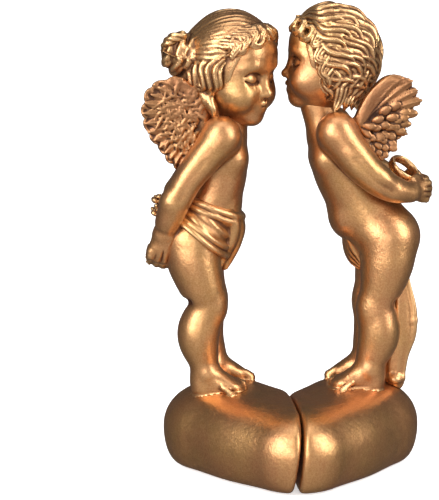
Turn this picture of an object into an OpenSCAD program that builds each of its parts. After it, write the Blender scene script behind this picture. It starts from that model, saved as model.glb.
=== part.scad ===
// Pair of kissing cherubs in cast resin, each standing on one half of a pillow-shaped heart.
// Millimetres. +Z is up, +X runs from the left cherub to the right one, -Y is the front, where the
// heart has its tip. The origin is under the middle of the pair, on the surface that it stands on.

/* [Heart base] */
// Height of the heart where the feet stand
heart_h = 35; // [34:0.25:36]
// Radius of each of the heart's two lobes, seen from above
lobe_r = 29; // [28.5:0.25:30]
// Radius of the heart's blunt tip, seen from above
tip_r = 24; // [22:0.5:25]
// Gap between the two halves at their top edge
seam_gap = 0.6; // [0.5:0.1:1.2]
// Lean of the left half's cut face, in degrees from upright
left_lean = 7.6; // [6:0.1:9]
// Lean of the right half's cut face, in degrees from upright
right_lean = 5.4; // [4:0.1:5.6]
// Turn of the cut in plan, in degrees
seam_yaw = 3; // [1:0.5:4]
// Thickness of the felt under each half
felt_t = 1; // [0.6:0.1:1.4]
// Diameter of the steel dowels in the ankles
dowel_d = 2.4; // [2:0.1:2.8]

/* [Figures] */
// Length of a foot, heel to toes
foot_len = 23; // [21.5:0.5:24]
// Width of a foot across the toes
foot_w = 10; // [9.4:0.2:10.6]
// Diameter of the pegs that hold the wings
peg_d = 3; // [2.4:0.1:3.2]
// Outer radius of the ring that the right cherub hides
ring_r = 8; // [7:0.25:8.5]
// Radius of the ring's bar
ring_bar = 1.5; // [1.2:0.1:1.7]

/* [Wings] */
// Number of long feathers in each wing
feather_count = 8; // [6:1:10]
// Thickness of a wing
wing_t = 2.6; // [2.2:0.1:3]

/* [Hidden] */

skull_r = [18.6, 17.2, 18.8];        // radii of the shell that the locks lie on
soft_fn = 14;      // roundness of the large soft forms
small_fn = 8;      // roundness of toes, fingers and locks of hair
mid_y = 13;        // depth of both figures' middle plane
mirror_y = 2 * mid_y;
big = 300;         // larger than the whole pair
lobe_x = 28;       // middle of a lobe of the heart
lobe_y = 11.5;
tip_y = -26;       // middle of the tip's arc
side_z = 16;       // height of the heart's widest line
top_inset = tip_r - 1;               // how far the top's edge is drawn in from the widest line
foot_inset = 6;    // and the lower edge
felt_margin = 3;   // how far the felt stays inside the flat underside
seam_at = [0.9, -36];                // a point of the cut at the heart's top
inner_at = [2, 8.5];                 // middle of the small disc that carries the heart to its seam
far_wing_shift = [1.6, 0, -2.4];     // from the near wing's mirror image
stem_r = 1;        // radius of a flower's stem
wing_bow = -3.4;   // how far the feather tips stand off towards the near side
gold = "#b98346";
bright_gold = "#c8954f";
steel = "#b8bcc0";
felt = "#33302c";

// Left cherub: [x, y, z, radius] along each limb, from the ground up or from the shoulder out.
left_near_leg = [[-38.6, 4, 40, 6], [-38.6, 4, 45.5, 6.4], [-40.6, 4, 54, 8.3], [-41, 4, 62, 9],
                 [-37.5, 4, 74, 8.3], [-39.6, 4, 81, 9.9], [-43, 5, 92, 11.8], [-43.5, 6.5, 101, 12.3]];
left_far_leg = [[-34, 21.5, 40, 5.6], [-34, 21.5, 46, 6], [-37, 21.5, 54, 7.6], [-37.6, 21.5, 62, 8.3],
                [-36.4, 21.5, 73, 8], [-38, 21.5, 82, 9.2], [-41, 20.5, 92, 11], [-42, 19.5, 101, 12]];
left_near_arm_path = [[-31, -2, 147.5, 7.8], [-38.5, -4.5, 138.5, 7.3], [-45.3, -5.5, 130, 6.5],
                      [-50, -5, 121.5, 6.3], [-53.2, -3, 114, 6.1], [-55.4, 0.5, 106.5, 5]];
left_far_arm_path = [[-27, 28, 147, 7.8], [-34, 30.5, 138, 7], [-42, 31.5, 129, 6.4],
                     [-48, 28.5, 120, 6.2], [-52.5, 21, 109, 5], [-54, 16.5, 103, 4.6]];
// Trunk sections: [x, y, z, radius along x, along y, along z], from the hips up.
left_trunk = [[-41, 13, 103, 14, 16.5, 10], [-37, 13, 114, 12.8, 14.5, 8], [-33, 13, 122, 12, 14, 8],
              [-31, 13, 132, 12.1, 14.5, 9], [-29.5, 13, 143, 9.8, 15.5, 7]];
left_neck = [[-28, 13, 147, 7.4], [-23.5, 13, 160, 7]];
left_seat = [[-46.5, 7.5, 101, 10.4], [-46, 18.5, 101, 10.2]];

// Right cherub, in the same order.
right_near_leg = [[34.6, 4, 40, 6.2], [34.9, 4, 46, 7], [36.8, 4, 52, 8.1], [38.2, 4, 61, 8.9],
                  [37.6, 4, 72, 8.3], [39.4, 4, 79, 9.4], [42, 5, 90, 11.8], [43, 6.5, 101, 12.8]];
right_far_leg = [[34.6, 23.5, 40, 5.8], [35, 23.2, 46, 6.4], [37.2, 22.5, 54, 7.9], [37.6, 22, 62, 8.2],
                 [37.4, 21.7, 72, 7.8], [38.8, 21.5, 81, 9.2], [41, 20.5, 91, 11.4], [42, 19.5, 101, 12.4]];
right_near_arm_path = [[19, -2, 148.5, 8.1], [26.4, -4.5, 138.5, 8.1], [34.6, -5.5, 129.6, 6.9],
                       [43, -3.5, 124, 6.5], [50.6, 0, 121.2, 4.9]];
right_far_arm_path = [[20, 28, 148, 7.8], [27, 31, 139, 7.4], [35, 31.5, 130.5, 6.7],
                      [43.5, 28, 125.5, 6.3], [50.5, 22, 123.5, 4.8]];
right_trunk = [[41, 13, 103, 14.4, 17, 10], [34.5, 13, 110.5, 15, 15.2, 9], [28, 13, 120, 13.2, 14.2, 8.5],
               [21.6, 13, 132, 12.2, 14.8, 9], [19, 13, 142, 10.4, 15.6, 7.5]];
right_neck = [[15.5, 13, 147, 7.8], [11.5, 13, 160, 7.6]];
right_seat = [[45.6, 7.5, 101.5, 10.6], [45, 18.5, 101.5, 10.4]];

// Heads: middle of the skull, and how far the face is turned away from +X.
left_skull = [-25.2, 13, 177.4];
left_turn = -38;
left_tilt = 8;
left_size = 1.08;  // of the left head and its hair, beside the right one's
right_skull = [16.8, 13, 180.3];
right_turn = 180;
right_tilt = -4;

// Wings: the root on the near shoulder blade, and the fan of feathers as [angle, length].
// The far wing is the near one's mirror image, set a little lower and further back.
left_wing_root = [-37, 5, 151];
left_fan = [[118, 24], [148, 27.5], [200, 20], [236, 18.5]];
right_wing_root = [29, 5, 150];
right_fan = [[46, 24], [24, 23.5], [-14, 16], [-58, 13.5]];

// ---------------------------------------------------------------- shared shapes

module ball(p, fn = soft_fn) translate([p[0], p[1], p[2]]) sphere(p[3], $fn = fn);

module blob(s, fn = soft_fn) translate([s[0], s[1], s[2]]) scale([s[3], s[4], s[5]]) sphere(1, $fn = fn);

// A tapering limb through a list of balls.
module limb(path, fn = soft_fn)
    for (i = [0 : len(path) - 2])
        hull() {
            ball(path[i], fn);
            ball(path[i + 1], fn);
        }

// A trunk through a list of flattened sections.
module trunk(sections)
    for (i = [0 : len(sections) - 2])
        hull() {
            blob(sections[i]);
            blob(sections[i + 1]);
        }

// Swaps the near side for the far side.
module far_side() translate([0, mirror_y, 0]) mirror([0, 1, 0]) children();

// ---------------------------------------------------------------- heart base

// How far the outline is drawn in at a height, from a quarter ellipse above and below side_z.
function inset(z) = z > side_z
    ? top_inset * (1 - sqrt(max(0, 1 - pow((z - side_z) / (heart_h - side_z), 2))))
    : foot_inset * (1 - sqrt(max(0, 1 - pow((side_z - z) / (side_z - felt_t), 2))));

slice_z = [for (i = [0 : 6]) side_z - (side_z - felt_t) * sin(90 - i * 15),
           for (i = [1 : 7]) side_z + (heart_h - side_z) * sin(i * 90 / 7)];

// One half of the closed heart before it is cut, side is -1 on the left and 1 on the right.
module pillow(side)
    hull()
        for (z = slice_z)
            translate([0, 0, z]) linear_extrude(0.01) {
                translate([side * lobe_x, lobe_y]) circle(lobe_r - inset(z), $fn = 36);
                translate([0, tip_y]) circle(tip_r - inset(z), $fn = 36);
                translate([side * inner_at[0], inner_at[1]]) circle(2.5, $fn = 12);
            }

// Everything on one side of the leaning cut. The face passes through the seam at the heart's top.
module beyond_cut(side, lean)
    translate([seam_at[0], seam_at[1], heart_h]) rotate([0, lean, seam_yaw])
        translate([side * (big / 2 + seam_gap / 2), 0, 0]) cube(big, center = true);

function ankle_xy(leg) = [leg[0][0], leg[0][1]];

module dowel_set(legs, d)
    for (leg = legs)
        translate([ankle_xy(leg)[0], ankle_xy(leg)[1], heart_h - 14]) cylinder(d = d, h = 26, $fn = 24);

module half_base(side, lean, legs)
    difference() {
        intersection() {
            pillow(side);
            beyond_cut(side, lean);
        }
        dowel_set(legs, dowel_d + 0.1);
    }

// Felt cut to the flat under a half, a little smaller than it all round.
module felt_pad(side, lean)
    linear_extrude(felt_t)
        intersection() {
            hull() {
                translate([side * lobe_x, lobe_y]) circle(lobe_r - foot_inset - felt_margin, $fn = 40);
                translate([0, tip_y]) circle(tip_r - foot_inset - felt_margin, $fn = 40);
                translate([side * inner_at[0], inner_at[1] - felt_margin]) circle(2.5, $fn = 24);
            }
            translate([seam_at[0] - heart_h * tan(lean) + side * (seam_gap + felt_margin) / 2, seam_at[1]])
                rotate(seam_yaw) translate([side * big / 2, 0]) square(big, center = true);
        }

// ---------------------------------------------------------------- feet and hands

// A foot standing on the heart. big_toe is the side of the great toe, 1 or -1 along the foot's own y.
module foot(ankle, turn, big_toe)
    translate([ankle[0], ankle[1], heart_h]) rotate([0, 0, turn]) {
        hull() {
            ball([-0.8, 0, 3.6, 5.2], 12);
            ball([foot_len - 11.5, 0, 1.8, 4.6], 12);
            ball([1.5, 0, 9.5, 5.2], 12);
        }
        for (i = [0 : 4])
            let (across = big_toe * (foot_w / 2 - 1.3 - i * 1.95), reach = foot_len - 7.4 - i * 0.9)
                hull() {
                    ball([foot_len - 12.5, across * 0.8, 1.8, 2], small_fn);
                    ball([reach, across, 1.1, i == 0 ? 2 : 1.55], small_fn);
                }
    }

// A closed hand pointing along -z, with the thumb on +x. palm is the side the fingers curl to, along y.
module hand(place, aim, palm)
    translate(place) rotate(aim) {
        hull() {
            blob([0, 0, 1.4, 5.2, 4, 5], fn = 10);
            blob([-0.6, 0, -3.8, 6, 3.6, 3], fn = 10);
        }
        for (i = [0 : 3])
            let (x = -5 + i * 2.9)
                hull() {
                    ball([x, 0, -5.6, 2.1], 6);
                    ball([x * 0.9, palm * 4, -6.6, 1.8], 6);
                }
        hull() {
            ball([5.2, palm * 0.6, 1.4, 2.3], 6);
            ball([5, palm * 3, -6, 1.8], 6);
        }
    }

// ---------------------------------------------------------------- heads and hair

// The head in its own frame: +X is where the face looks.
module head_form() {
    blob([-0.6, 0, 0.6, 17.4, 16.2, 18.2]);
    blob([5, 0, -10, 12.4, 13, 12.4]);
    hull() {
        blob([15.4, 0, -4.6, 2, 1.7, 3], fn = 8);
        blob([17.6, 0, -8.6, 1.9, 2, 1.7], fn = 8);
    }
    for (s = [-1, 1]) {
        blob([10.4, s * 7.2, -11.4, 6.4, 5.8, 5.8], fn = 10);
        blob([14.2, s * 6.2, -3.2, 2, 3.2, 1.8], fn = 8);
    }
    blob([15.4, 0, -13, 2.6, 3.6, 1.3], fn = 8);
    blob([15, 0, -15.2, 2.6, 3.2, 1.3], fn = 8);
    blob([12.4, 0, -19, 4, 4.4, 3.6], fn = 10);
}

module at_head(skull, turn, tilt, size = 1) translate(skull) rotate([0, tilt, turn]) scale(size) children();

// A cap of hair round the skull, open over the face and below the nape.
module hair_cap(thick)
    difference() {
        blob([-1, 0, 0.9, 18.6 + thick, 16.4 + thick, 18.6 + thick], fn = 16);
        hull() {
            blob([14, 0, 0, 9, 11.6, 11], fn = 12);
            blob([20, 0, -18, 12, 14, 12], fn = 12);
        }
        translate([10, 0, -33]) cube([40, 60, 34], center = true);
    }

// A row of locks round the head, from one azimuth to another. Each starts at a height on the skull,
// in degrees, and narrows as it drops and sweeps round.
module locks(count, from, to, height, lock, drop, sweep)
    for (i = [0 : count - 1])
        let (a = from + (to - from) * i / (count - 1))
            hull() {
                lock_end(a, height, skull_r, lock);
                lock_end(a + sweep, height - drop, skull_r + [1.4, 1.4, 1.4], lock * 0.6);
            }

module lock_end(a, height, reach, r)
    translate([-1, 0, 1])
        translate([reach[0] * cos(a) * cos(height), reach[1] * sin(a) * cos(height), reach[2] * sin(height)])
            sphere(r, $fn = 6);

// ---------------------------------------------------------------- wings

function fan_at(fan, t) = let (k = min(2, floor(t * 3))) fan[k] + (fan[k + 1] - fan[k]) * (t * 3 - k);

// One row of feathers, each from near the root to a share of the fan's length.
module feathers(fan, count, share, thick, tip, bow)
    for (i = [0 : count - 1])
        let (f = fan_at(fan, (i + 0.5) / count), c = cos(f[0]), s = sin(f[0]), reach = f[1] * share)
            hull() {
                translate([c * 3, 0, s * 3]) rotate([90, 0, 0])
                    cylinder(r = 3, h = thick, center = true, $fn = 8);
                translate([c * reach, bow, s * reach]) rotate([90, 0, 0])
                    cylinder(r = tip, h = thick * 0.6, center = true, $fn = 10);
            }

// A wing of long feathers under a row of short ones, bowed outwards from its root.
module wing(root, fan)
    translate(root) {
        feathers(fan, feather_count, 1, wing_t, 4, wing_bow);
        feathers(fan, feather_count - 2, 0.62, wing_t + 2.2, 3.4, wing_bow * 0.6);
        limb([[0, 0, -4, 3.6], [0, -0.5, 4, 4.2], [cos(fan[0][0]) * 14, -2, sin(fan[0][0]) * 14, 3]], 10);
    }

// Round pegs between the shoulder blades and the wings. inward is the way into the trunk along x.
module wing_pegs(root, inward, d)
    for (k = [0, 1])
        translate([0, k * mirror_y, 0] + k * far_wing_shift) mirror([0, k, 0])
            translate([root[0] + inward * 2.5, root[1], root[2] - 2])
                rotate([0, 90, 0]) cylinder(d = d, h = 9, center = true, $fn = 24);

// ---------------------------------------------------------------- left cherub

module left_core() {
    trunk(left_trunk);
    limb(left_neck);
    for (p = left_seat) ball(p);
    limb(left_near_leg);
    limb(left_far_leg);
    foot(ankle_xy(left_near_leg), -20, 1);
    foot(ankle_xy(left_far_leg), 12, -1);
}

module left_near_arm_form() {
    limb(left_near_arm_path, 12);
    hand([-56.4, 2.6, 100.6], [16, 6, 8], 1);
}

module left_far_arm_form() {
    limb(left_far_arm_path, 12);
    hand([-56, 13.4, 97.6], [-24, 8, -10], -1);
}

module left_head_form() at_head(left_skull, left_turn, left_tilt, left_size) head_form();

module left_base() color(gold) half_base(-1, left_lean, [left_near_leg, left_far_leg]);

module left_felt_pad() color(felt) felt_pad(-1, left_lean);

module left_dowels() color(steel) dowel_set([left_near_leg, left_far_leg], dowel_d);

module left_body()
    color(gold) difference() {
        left_core();
        pillow(-1);
        dowel_set([left_near_leg, left_far_leg], dowel_d + 0.3);
        wing_pegs(left_wing_root, 1, peg_d + 0.3);
    }

module left_head()
    color(gold) difference() {
        left_head_form();
        left_core();
    }

// Smooth over the crown, swept into a wave over the brow, gathered in a bun, with locks to the neck.
module left_hair_form() {
    at_head(left_skull, left_turn, left_tilt, left_size) {
        hair_cap(1);
        locks(6, -62, 62, 38, 3.4, 20, 14);
        locks(5, 76, 150, 2, 3.8, 26, 8);
        locks(5, -150, -70, 2, 3.8, 26, -8);
    }
    blob([-46.5, 10, 181.5, 8.6, 9, 9], fn = 12);
    blob([-50.5, 8, 185.5, 4.6, 5, 4.6], fn = 8);
    blob([-41, 9, 170, 8, 10, 7.4], fn = 12);
    limb([[-37.5, 5, 165.5, 6.4], [-34.5, 1.5, 159.5, 4.4], [-32.5, 2, 154.6, 3]], small_fn);
}

module left_hair()
    color(bright_gold) difference() {
        left_hair_form();
        left_head_form();
        left_core();
        left_near_arm_form();
    }

module left_near_arm()
    color(gold) difference() {
        left_near_arm_form();
        left_core();
        left_stems(stem_r + 0.1);
        wing_pegs(left_wing_root, 1, peg_d + 0.3);
    }

module left_far_arm()
    color(gold) difference() {
        left_far_arm_form();
        left_core();
        left_near_arm_form();
        left_stems(stem_r + 0.1);
        wing_pegs(left_wing_root, 1, peg_d + 0.3);
    }

module left_near_wing()
    color(bright_gold) difference() {
        wing(left_wing_root, left_fan);
        left_core();
        left_near_arm_form();
        left_hair_form();
        wing_pegs(left_wing_root, 1, peg_d + 0.3);
    }

module left_far_wing()
    color(bright_gold) difference() {
        far_side() wing(left_wing_root + far_wing_shift, left_fan);
        left_core();
        left_far_arm_form();
        left_hair_form();
        wing_pegs(left_wing_root, 1, peg_d + 0.3);
    }

module left_wing_pegs() color(gold) wing_pegs(left_wing_root, 1, peg_d);

// The cloth round the hips: a skin over the trunk between a waist line and a slanting hem.
module left_loincloth()
    color(gold) difference() {
        union() {
            trunk([[-41.5, 13, 101, 15.6, 19, 11], [-37, 13, 115, 14.4, 16.4, 6]]);
            limb([[-28, 4, 112, 3.6], [-25.6, 5, 102, 3], [-29.5, 10, 93, 3], [-32, 12, 88, 2]], small_fn);
        }
        left_core();
        left_near_arm_form();
        left_far_arm_form();
        translate([-40, 13, 119]) rotate([0, 22, 0]) translate([0, 0, big / 2]) cube(big, center = true);
        translate([-40, 13, 99]) rotate([8, 34, 0]) translate([0, 0, -big / 2 - 6]) cube(big, center = true);
    }

// Stems of the flowers, held in both hands behind the back: [lean, length].
stems = [[-11, 22], [0, 26.4], [11, 22]];

module at_stem(stem) translate([-57.4, 9.2, 92]) rotate([stem[0], 0, 0]) children();

module left_stems(r) for (stem = stems) at_stem(stem) cylinder(r = r, h = stem[1], $fn = 12);

module left_bouquet()
    color(bright_gold) difference() {
        union() {
            left_stems(stem_r);
            difference() {
                for (stem = stems) at_stem(stem) translate([0, 0, stem[1]]) {
                    cylinder(r1 = 1.6, r2 = 3, h = 2.4, center = true, $fn = 10);
                    for (a = [0 : 72 : 288]) rotate([0, 0, a]) translate([2.2, 0, 1]) sphere(1.7, $fn = 6);
                }
                left_near_arm_form();
                left_far_arm_form();
            }
        }
        left_core();
    }

// ---------------------------------------------------------------- right cherub

module right_core() {
    trunk(right_trunk);
    limb(right_neck);
    for (p = right_seat) ball(p);
    limb(right_near_leg);
    limb(right_far_leg);
    foot(ankle_xy(right_near_leg), 180 + 8, -1);
    foot(ankle_xy(right_far_leg), 180 - 8, 1);
}

module right_near_arm_form() {
    limb(right_near_arm_path, 12);
    hand([55, 3.6, 122], [0, -78, 30], 1);
}

module right_far_arm_form() {
    limb(right_far_arm_path, 12);
    hand([55, 17.6, 123.6], [0, -78, -30], -1);
}

module right_head_form() at_head(right_skull, right_turn, right_tilt) head_form();

module right_base() color(gold) half_base(1, right_lean, [right_near_leg, right_far_leg]);

module right_felt_pad() color(felt) felt_pad(1, right_lean);

module right_dowels() color(steel) dowel_set([right_near_leg, right_far_leg], dowel_d);

module right_body()
    color(gold) difference() {
        right_core();
        pillow(1);
        dowel_set([right_near_leg, right_far_leg], dowel_d + 0.3);
        wing_pegs(right_wing_root, -1, peg_d + 0.3);
    }

module right_head()
    color(gold) difference() {
        right_head_form();
        right_core();
    }

// Short layered locks, from the crown down to the nape.
module right_hair_form()
    at_head(right_skull, right_turn, right_tilt) {
        hair_cap(1.2);
        locks(4, -60, 60, 48, 4.6, 22, 8);
        locks(7, 62, 298, 36, 4.4, 26, 8);
        locks(7, 66, 294, 2, 4.4, 26, 6);
        locks(6, 72, 288, -28, 4.4, 24, 6);
    }

module right_hair()
    color(bright_gold) difference() {
        right_hair_form();
        right_head_form();
        right_core();
    }

module right_near_arm()
    color(gold) difference() {
        right_near_arm_form();
        right_core();
        ring_form(0.1);
        wing_pegs(right_wing_root, -1, peg_d + 0.3);
    }

module right_far_arm()
    color(gold) difference() {
        right_far_arm_form();
        right_core();
        right_near_arm_form();
        ring_form(0.1);
        wing_pegs(right_wing_root, -1, peg_d + 0.3);
    }

module right_near_wing()
    color(bright_gold) difference() {
        wing(right_wing_root, right_fan);
        right_core();
        right_near_arm_form();
        right_hair_form();
        wing_pegs(right_wing_root, -1, peg_d + 0.3);
    }

module right_far_wing()
    color(bright_gold) difference() {
        far_side() wing(right_wing_root + far_wing_shift, right_fan);
        right_core();
        right_far_arm_form();
        right_hair_form();
        wing_pegs(right_wing_root, -1, peg_d + 0.3);
    }

module right_wing_pegs() color(gold) wing_pegs(right_wing_root, -1, peg_d);

// The cloth over the groin, which wraps the far hip.
module right_loincloth_form() {
    limb([[26.4, 6, 104, 3], [26, 12, 100, 4.4], [28.6, 13, 93, 4.2], [31, 12.6, 88, 2.4]], 10);
    limb([[26, 12, 102, 4], [28, 24, 101, 4], [36, 31, 101, 3.6], [48, 30.5, 99, 3.4], [53, 24, 96, 3.4],
          [51, 16, 90, 3]], 8);
}

module right_loincloth()
    color(gold) difference() {
        right_loincloth_form();
        right_core();
    }

// The end of the cloth, hanging behind the legs to the heart, which braces the figure.
module right_drape()
    color(gold) difference() {
        limb([[51.4, 15, 85, 3], [53.4, 14.5, 74, 3.8], [54.6, 14, 61, 4.7], [53.2, 13.6, 50, 5],
              [49.6, 13.2, 40, 4.6], [48.6, 13, 33, 4.8]], 10);
        right_core();
        pillow(1);
        right_loincloth_form();
    }

module ring_form(extra)
    translate([49.6, 9.5, 131]) rotate([24, 34, 0]) rotate_extrude($fn = 48)
        translate([ring_r - ring_bar, 0]) circle(ring_bar + extra, $fn = 20);

module right_ring() color(bright_gold) ring_form(0);

// ---------------------------------------------------------------- nodes

left_base();
left_felt_pad();
left_dowels();
left_body();
left_head();
left_hair();
left_near_arm();
left_far_arm();
left_near_wing();
left_far_wing();
left_wing_pegs();
left_loincloth();
left_bouquet();
right_base();
right_felt_pad();
right_dowels();
right_body();
right_head();
right_hair();
right_near_arm();
right_far_arm();
right_near_wing();
right_far_wing();
right_wing_pegs();
right_loincloth();
right_drape();
right_ring();
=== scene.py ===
"""Looks of the kissing cherub pair: each CAD node's finished surface is modelled here as a solid on a
grid of signed distances and turned into a mesh. Shapes are in millimetres, in the row frame's axes."""

import bpy
import numpy as np
import openvdb
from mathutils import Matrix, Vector


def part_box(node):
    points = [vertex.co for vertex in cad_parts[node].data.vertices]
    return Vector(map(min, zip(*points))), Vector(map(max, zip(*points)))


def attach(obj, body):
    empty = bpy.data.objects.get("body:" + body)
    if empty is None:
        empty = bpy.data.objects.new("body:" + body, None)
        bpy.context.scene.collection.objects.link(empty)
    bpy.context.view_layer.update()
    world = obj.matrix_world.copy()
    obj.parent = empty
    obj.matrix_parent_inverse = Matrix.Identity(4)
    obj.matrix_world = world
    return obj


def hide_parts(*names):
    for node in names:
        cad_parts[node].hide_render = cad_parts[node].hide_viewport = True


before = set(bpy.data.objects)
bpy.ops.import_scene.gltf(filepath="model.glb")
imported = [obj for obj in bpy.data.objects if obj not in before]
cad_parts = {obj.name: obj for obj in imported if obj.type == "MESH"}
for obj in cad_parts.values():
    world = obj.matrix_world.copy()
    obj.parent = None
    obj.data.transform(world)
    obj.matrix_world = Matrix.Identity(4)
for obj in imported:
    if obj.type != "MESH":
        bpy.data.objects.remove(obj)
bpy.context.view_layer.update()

MM = 0.001
FAR = 9.0  # distance that empty voxels start from
PAD = 4.0  # how far past its own surface a form's distances are worked out
RAY_REACH, RAY_STEPS = 40.0, 200
CRUMB = 0.04  # loose bits under this share of the largest one's size are dropped
FINE, BROAD = 0.9, 2.6  # how wide the painted shade in hollows and the painted highlight on ridges look
COARSE = 1.0
rng = np.random.default_rng(7)


# ------------------------------------------------------------------ geometry helpers


def unit(v):
    v = np.asarray(v, float)
    return v / np.maximum(np.linalg.norm(v, axis=-1, keepdims=True), 1e-9)


def turned(x=0.0, y=0.0, z=0.0):
    """Rotation matrix for turns about x, then y, then z, in degrees."""
    x, y, z = np.radians([x, y, z])
    about_x = np.array([[1, 0, 0], [0, np.cos(x), -np.sin(x)], [0, np.sin(x), np.cos(x)]])
    about_y = np.array([[np.cos(y), 0, np.sin(y)], [0, 1, 0], [-np.sin(y), 0, np.cos(y)]])
    about_z = np.array([[np.cos(z), -np.sin(z), 0], [np.sin(z), np.cos(z), 0], [0, 0, 1]])
    return about_z @ about_y @ about_x


def spline(rows, steps):
    """A smooth curve through rows of numbers, places and sizes alike."""
    p = np.asarray(rows, float)
    p = np.vstack([2 * p[0] - p[1], p, 2 * p[-1] - p[-2]])
    out = []
    for a, b, c, d in zip(p, p[1:], p[2:], p[3:]):
        for t in np.arange(steps) / steps:
            out.append(0.5 * (2 * b + (c - a) * t + (2 * a - 5 * b + 4 * c - d) * t**2
                              + (3 * b - a - 3 * c + d) * t**3))
    out.append(p[-2])
    return np.array(out)


def smooth_min(a, b, k):
    h = np.clip(0.5 + 0.5 * (b - a) / k, 0, 1)
    return b + (a - b) * h - k * h * (1 - h)


def smooth_max(a, b, k):
    return -smooth_min(-a, -b, k)


def box_mm(node):
    low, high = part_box(node)
    return np.array(low) / MM, np.array(high) / MM


def middle(node):
    low, high = box_mm(node)
    return (low + high) / 2


def clay_for(node, margin, step):
    """An empty grid over a CAD node's box and a margin round it."""
    low, high = box_mm(node)
    return Clay(low - margin, high + margin, step)


class Clay:
    """A solid held as signed distances on a grid."""

    def __init__(self, low, high, step):
        self.step = step * COARSE
        self.low = np.array(low, float)
        count = np.ceil((np.array(high) - self.low) / self.step).astype(int) + 1
        self.axes = [np.float32(self.low[i] + self.step * np.arange(count[i])) for i in range(3)]
        self.d = np.full(count, FAR, np.float32)

    def part(self, low, high):
        """The slices of the grid between two corners, and the coordinates in them."""
        cut = []
        for i, axis in enumerate(self.axes):
            a = int(np.clip((low[i] - self.low[i]) // self.step, 0, len(axis)))
            b = int(np.clip((high[i] - self.low[i]) // self.step + 2, a, len(axis)))
            cut.append(slice(a, b))
        x, y, z = (axis[s] for axis, s in zip(self.axes, cut))
        return tuple(cut), x[:, None, None], y[None, :, None], z[None, None, :]

    def everywhere(self):
        return self.part(self.low, self.low + self.step * np.array(self.d.shape))

    def merge(self, cut, new, k, carve):
        old = self.d[cut]
        self.d[cut] = smooth_max(old, -new, k) if carve else smooth_min(old, new, k)

    def egg(self, centre, radii, k=1.0, carve=False, axes=None):
        """An ellipsoid. axes is a rotation matrix."""
        c, r = np.array(centre, float), np.array(radii, float) * np.ones(3)
        cut, x, y, z = self.part(c - r.max() - PAD, c + r.max() + PAD)
        p = (x - c[0], y - c[1], z - c[2])
        if axes is not None:
            p = [p[0] * axes[0, i] + p[1] * axes[1, i] + p[2] * axes[2, i] for i in range(3)]
        near = np.sqrt(sum((p[i] / r[i]) ** 2 for i in range(3)))
        slope = np.sqrt(sum((p[i] / r[i] ** 2) ** 2 for i in range(3)))
        self.merge(cut, near * (near - 1) / np.maximum(slope, 1e-4), k, carve)

    def sweep(self, path, wide, thick=None, up=(0, 0, 1), k=1.0, carve=False, steps=4,
              strands=0.0, depth=0.0, twist=0.0, shaft=0.0, barbs=0.0):
        """An oval section swept along a curve. wide and thick are half sizes at the curve's points, and
        up is the way that thick faces. strands are ridges along it, which wind round it by twist;
        shaft and barbs are a feather's middle ridge and the pitch of its side lines."""
        n = len(path)
        wide = np.broadcast_to(np.asarray(wide, float), n)
        thick = wide if thick is None else np.broadcast_to(np.asarray(thick, float), n)
        ups = np.broadcast_to(np.asarray(up, float), (n, 3))
        rows = spline(np.column_stack([np.asarray(path, float), wide, thick, ups]), steps)
        p, w, h = rows[:, :3], np.maximum(rows[:, 3], 0.05), np.maximum(rows[:, 4], 0.05)
        t_dir = unit(np.gradient(p, axis=0))
        ups = rows[:, 5:]
        u_dir = unit(ups - (ups * t_dir).sum(1, keepdims=True) * t_dir)
        s_dir = np.cross(t_dir, u_dir)
        reach = max(w.max(), h.max()) + PAD
        cut, x, y, z = self.part(p.min(0) - reach, p.max(0) + reach)
        new = np.full([s.stop - s.start for s in cut], FAR, np.float32)
        arc = 0.0
        for i in range(len(p) - 1):
            a, b = p[i], p[i + 1]
            ab = b - a
            size = np.linalg.norm(ab)
            if size < 1e-6:
                continue
            reach = max(w[i], w[i + 1], h[i], h[i + 1]) + PAD
            sub, x, y, z = self.part(np.minimum(a, b) - reach, np.maximum(a, b) + reach)
            here = tuple(slice(s.start - c.start, s.stop - c.start) for s, c in zip(sub, cut))
            along = ((x - a[0]) * ab[0] + (y - a[1]) * ab[1] + (z - a[2]) * ab[2]) / size**2
            t = np.clip(along, 0, 1)
            q = (x - a[0] - t * ab[0], y - a[1] - t * ab[1], z - a[2] - t * ab[2])
            side = (sum(q[j] * s_dir[i, j] for j in range(3)) * (1 - t)
                    + sum(q[j] * s_dir[i + 1, j] for j in range(3)) * t)
            rise = (sum(q[j] * u_dir[i, j] for j in range(3)) * (1 - t)
                    + sum(q[j] * u_dir[i + 1, j] for j in range(3)) * t)
            ww, hh = w[i] + (w[i + 1] - w[i]) * t, h[i] + (h[i + 1] - h[i]) * t
            past = (along - t) * size
            rho = np.sqrt((side / ww) ** 2 + (rise / hh) ** 2 + (past / ww) ** 2)
            d = (rho - 1) * np.minimum(ww, hh)
            if strands and twist:
                angle = strands * np.arctan2(rise, side) + twist * (arc + t * size)
                d = d + depth * (0.5 - 0.5 * np.cos(angle)) * np.minimum(1, rho)
            elif strands:
                d = d + depth * (0.5 - 0.5 * np.cos(np.pi * strands * side / ww))
            if shaft:
                d = d - shaft * np.exp(-(side / 0.45) ** 2)
            if barbs:
                d = d + depth * (0.5 - 0.5 * np.cos(2 * np.pi * (arc + t * size - np.abs(side)) / barbs))
            np.minimum(new[here], d, out=new[here])
            arc += size
        self.merge(cut, new, k, carve)

    def limb(self, path, k=1.0, carve=False):
        """A round limb through [x, y, z, radius] rows."""
        rows = np.asarray(path, float)
        self.sweep(rows[:, :3], rows[:, 3], k=k, carve=carve, up=(0.3, 1, 0.2))

    def crop(self, other):
        """Keeps only what is inside another field of distances too."""
        self.d = np.maximum(self.d, other).astype(np.float32)

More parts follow.
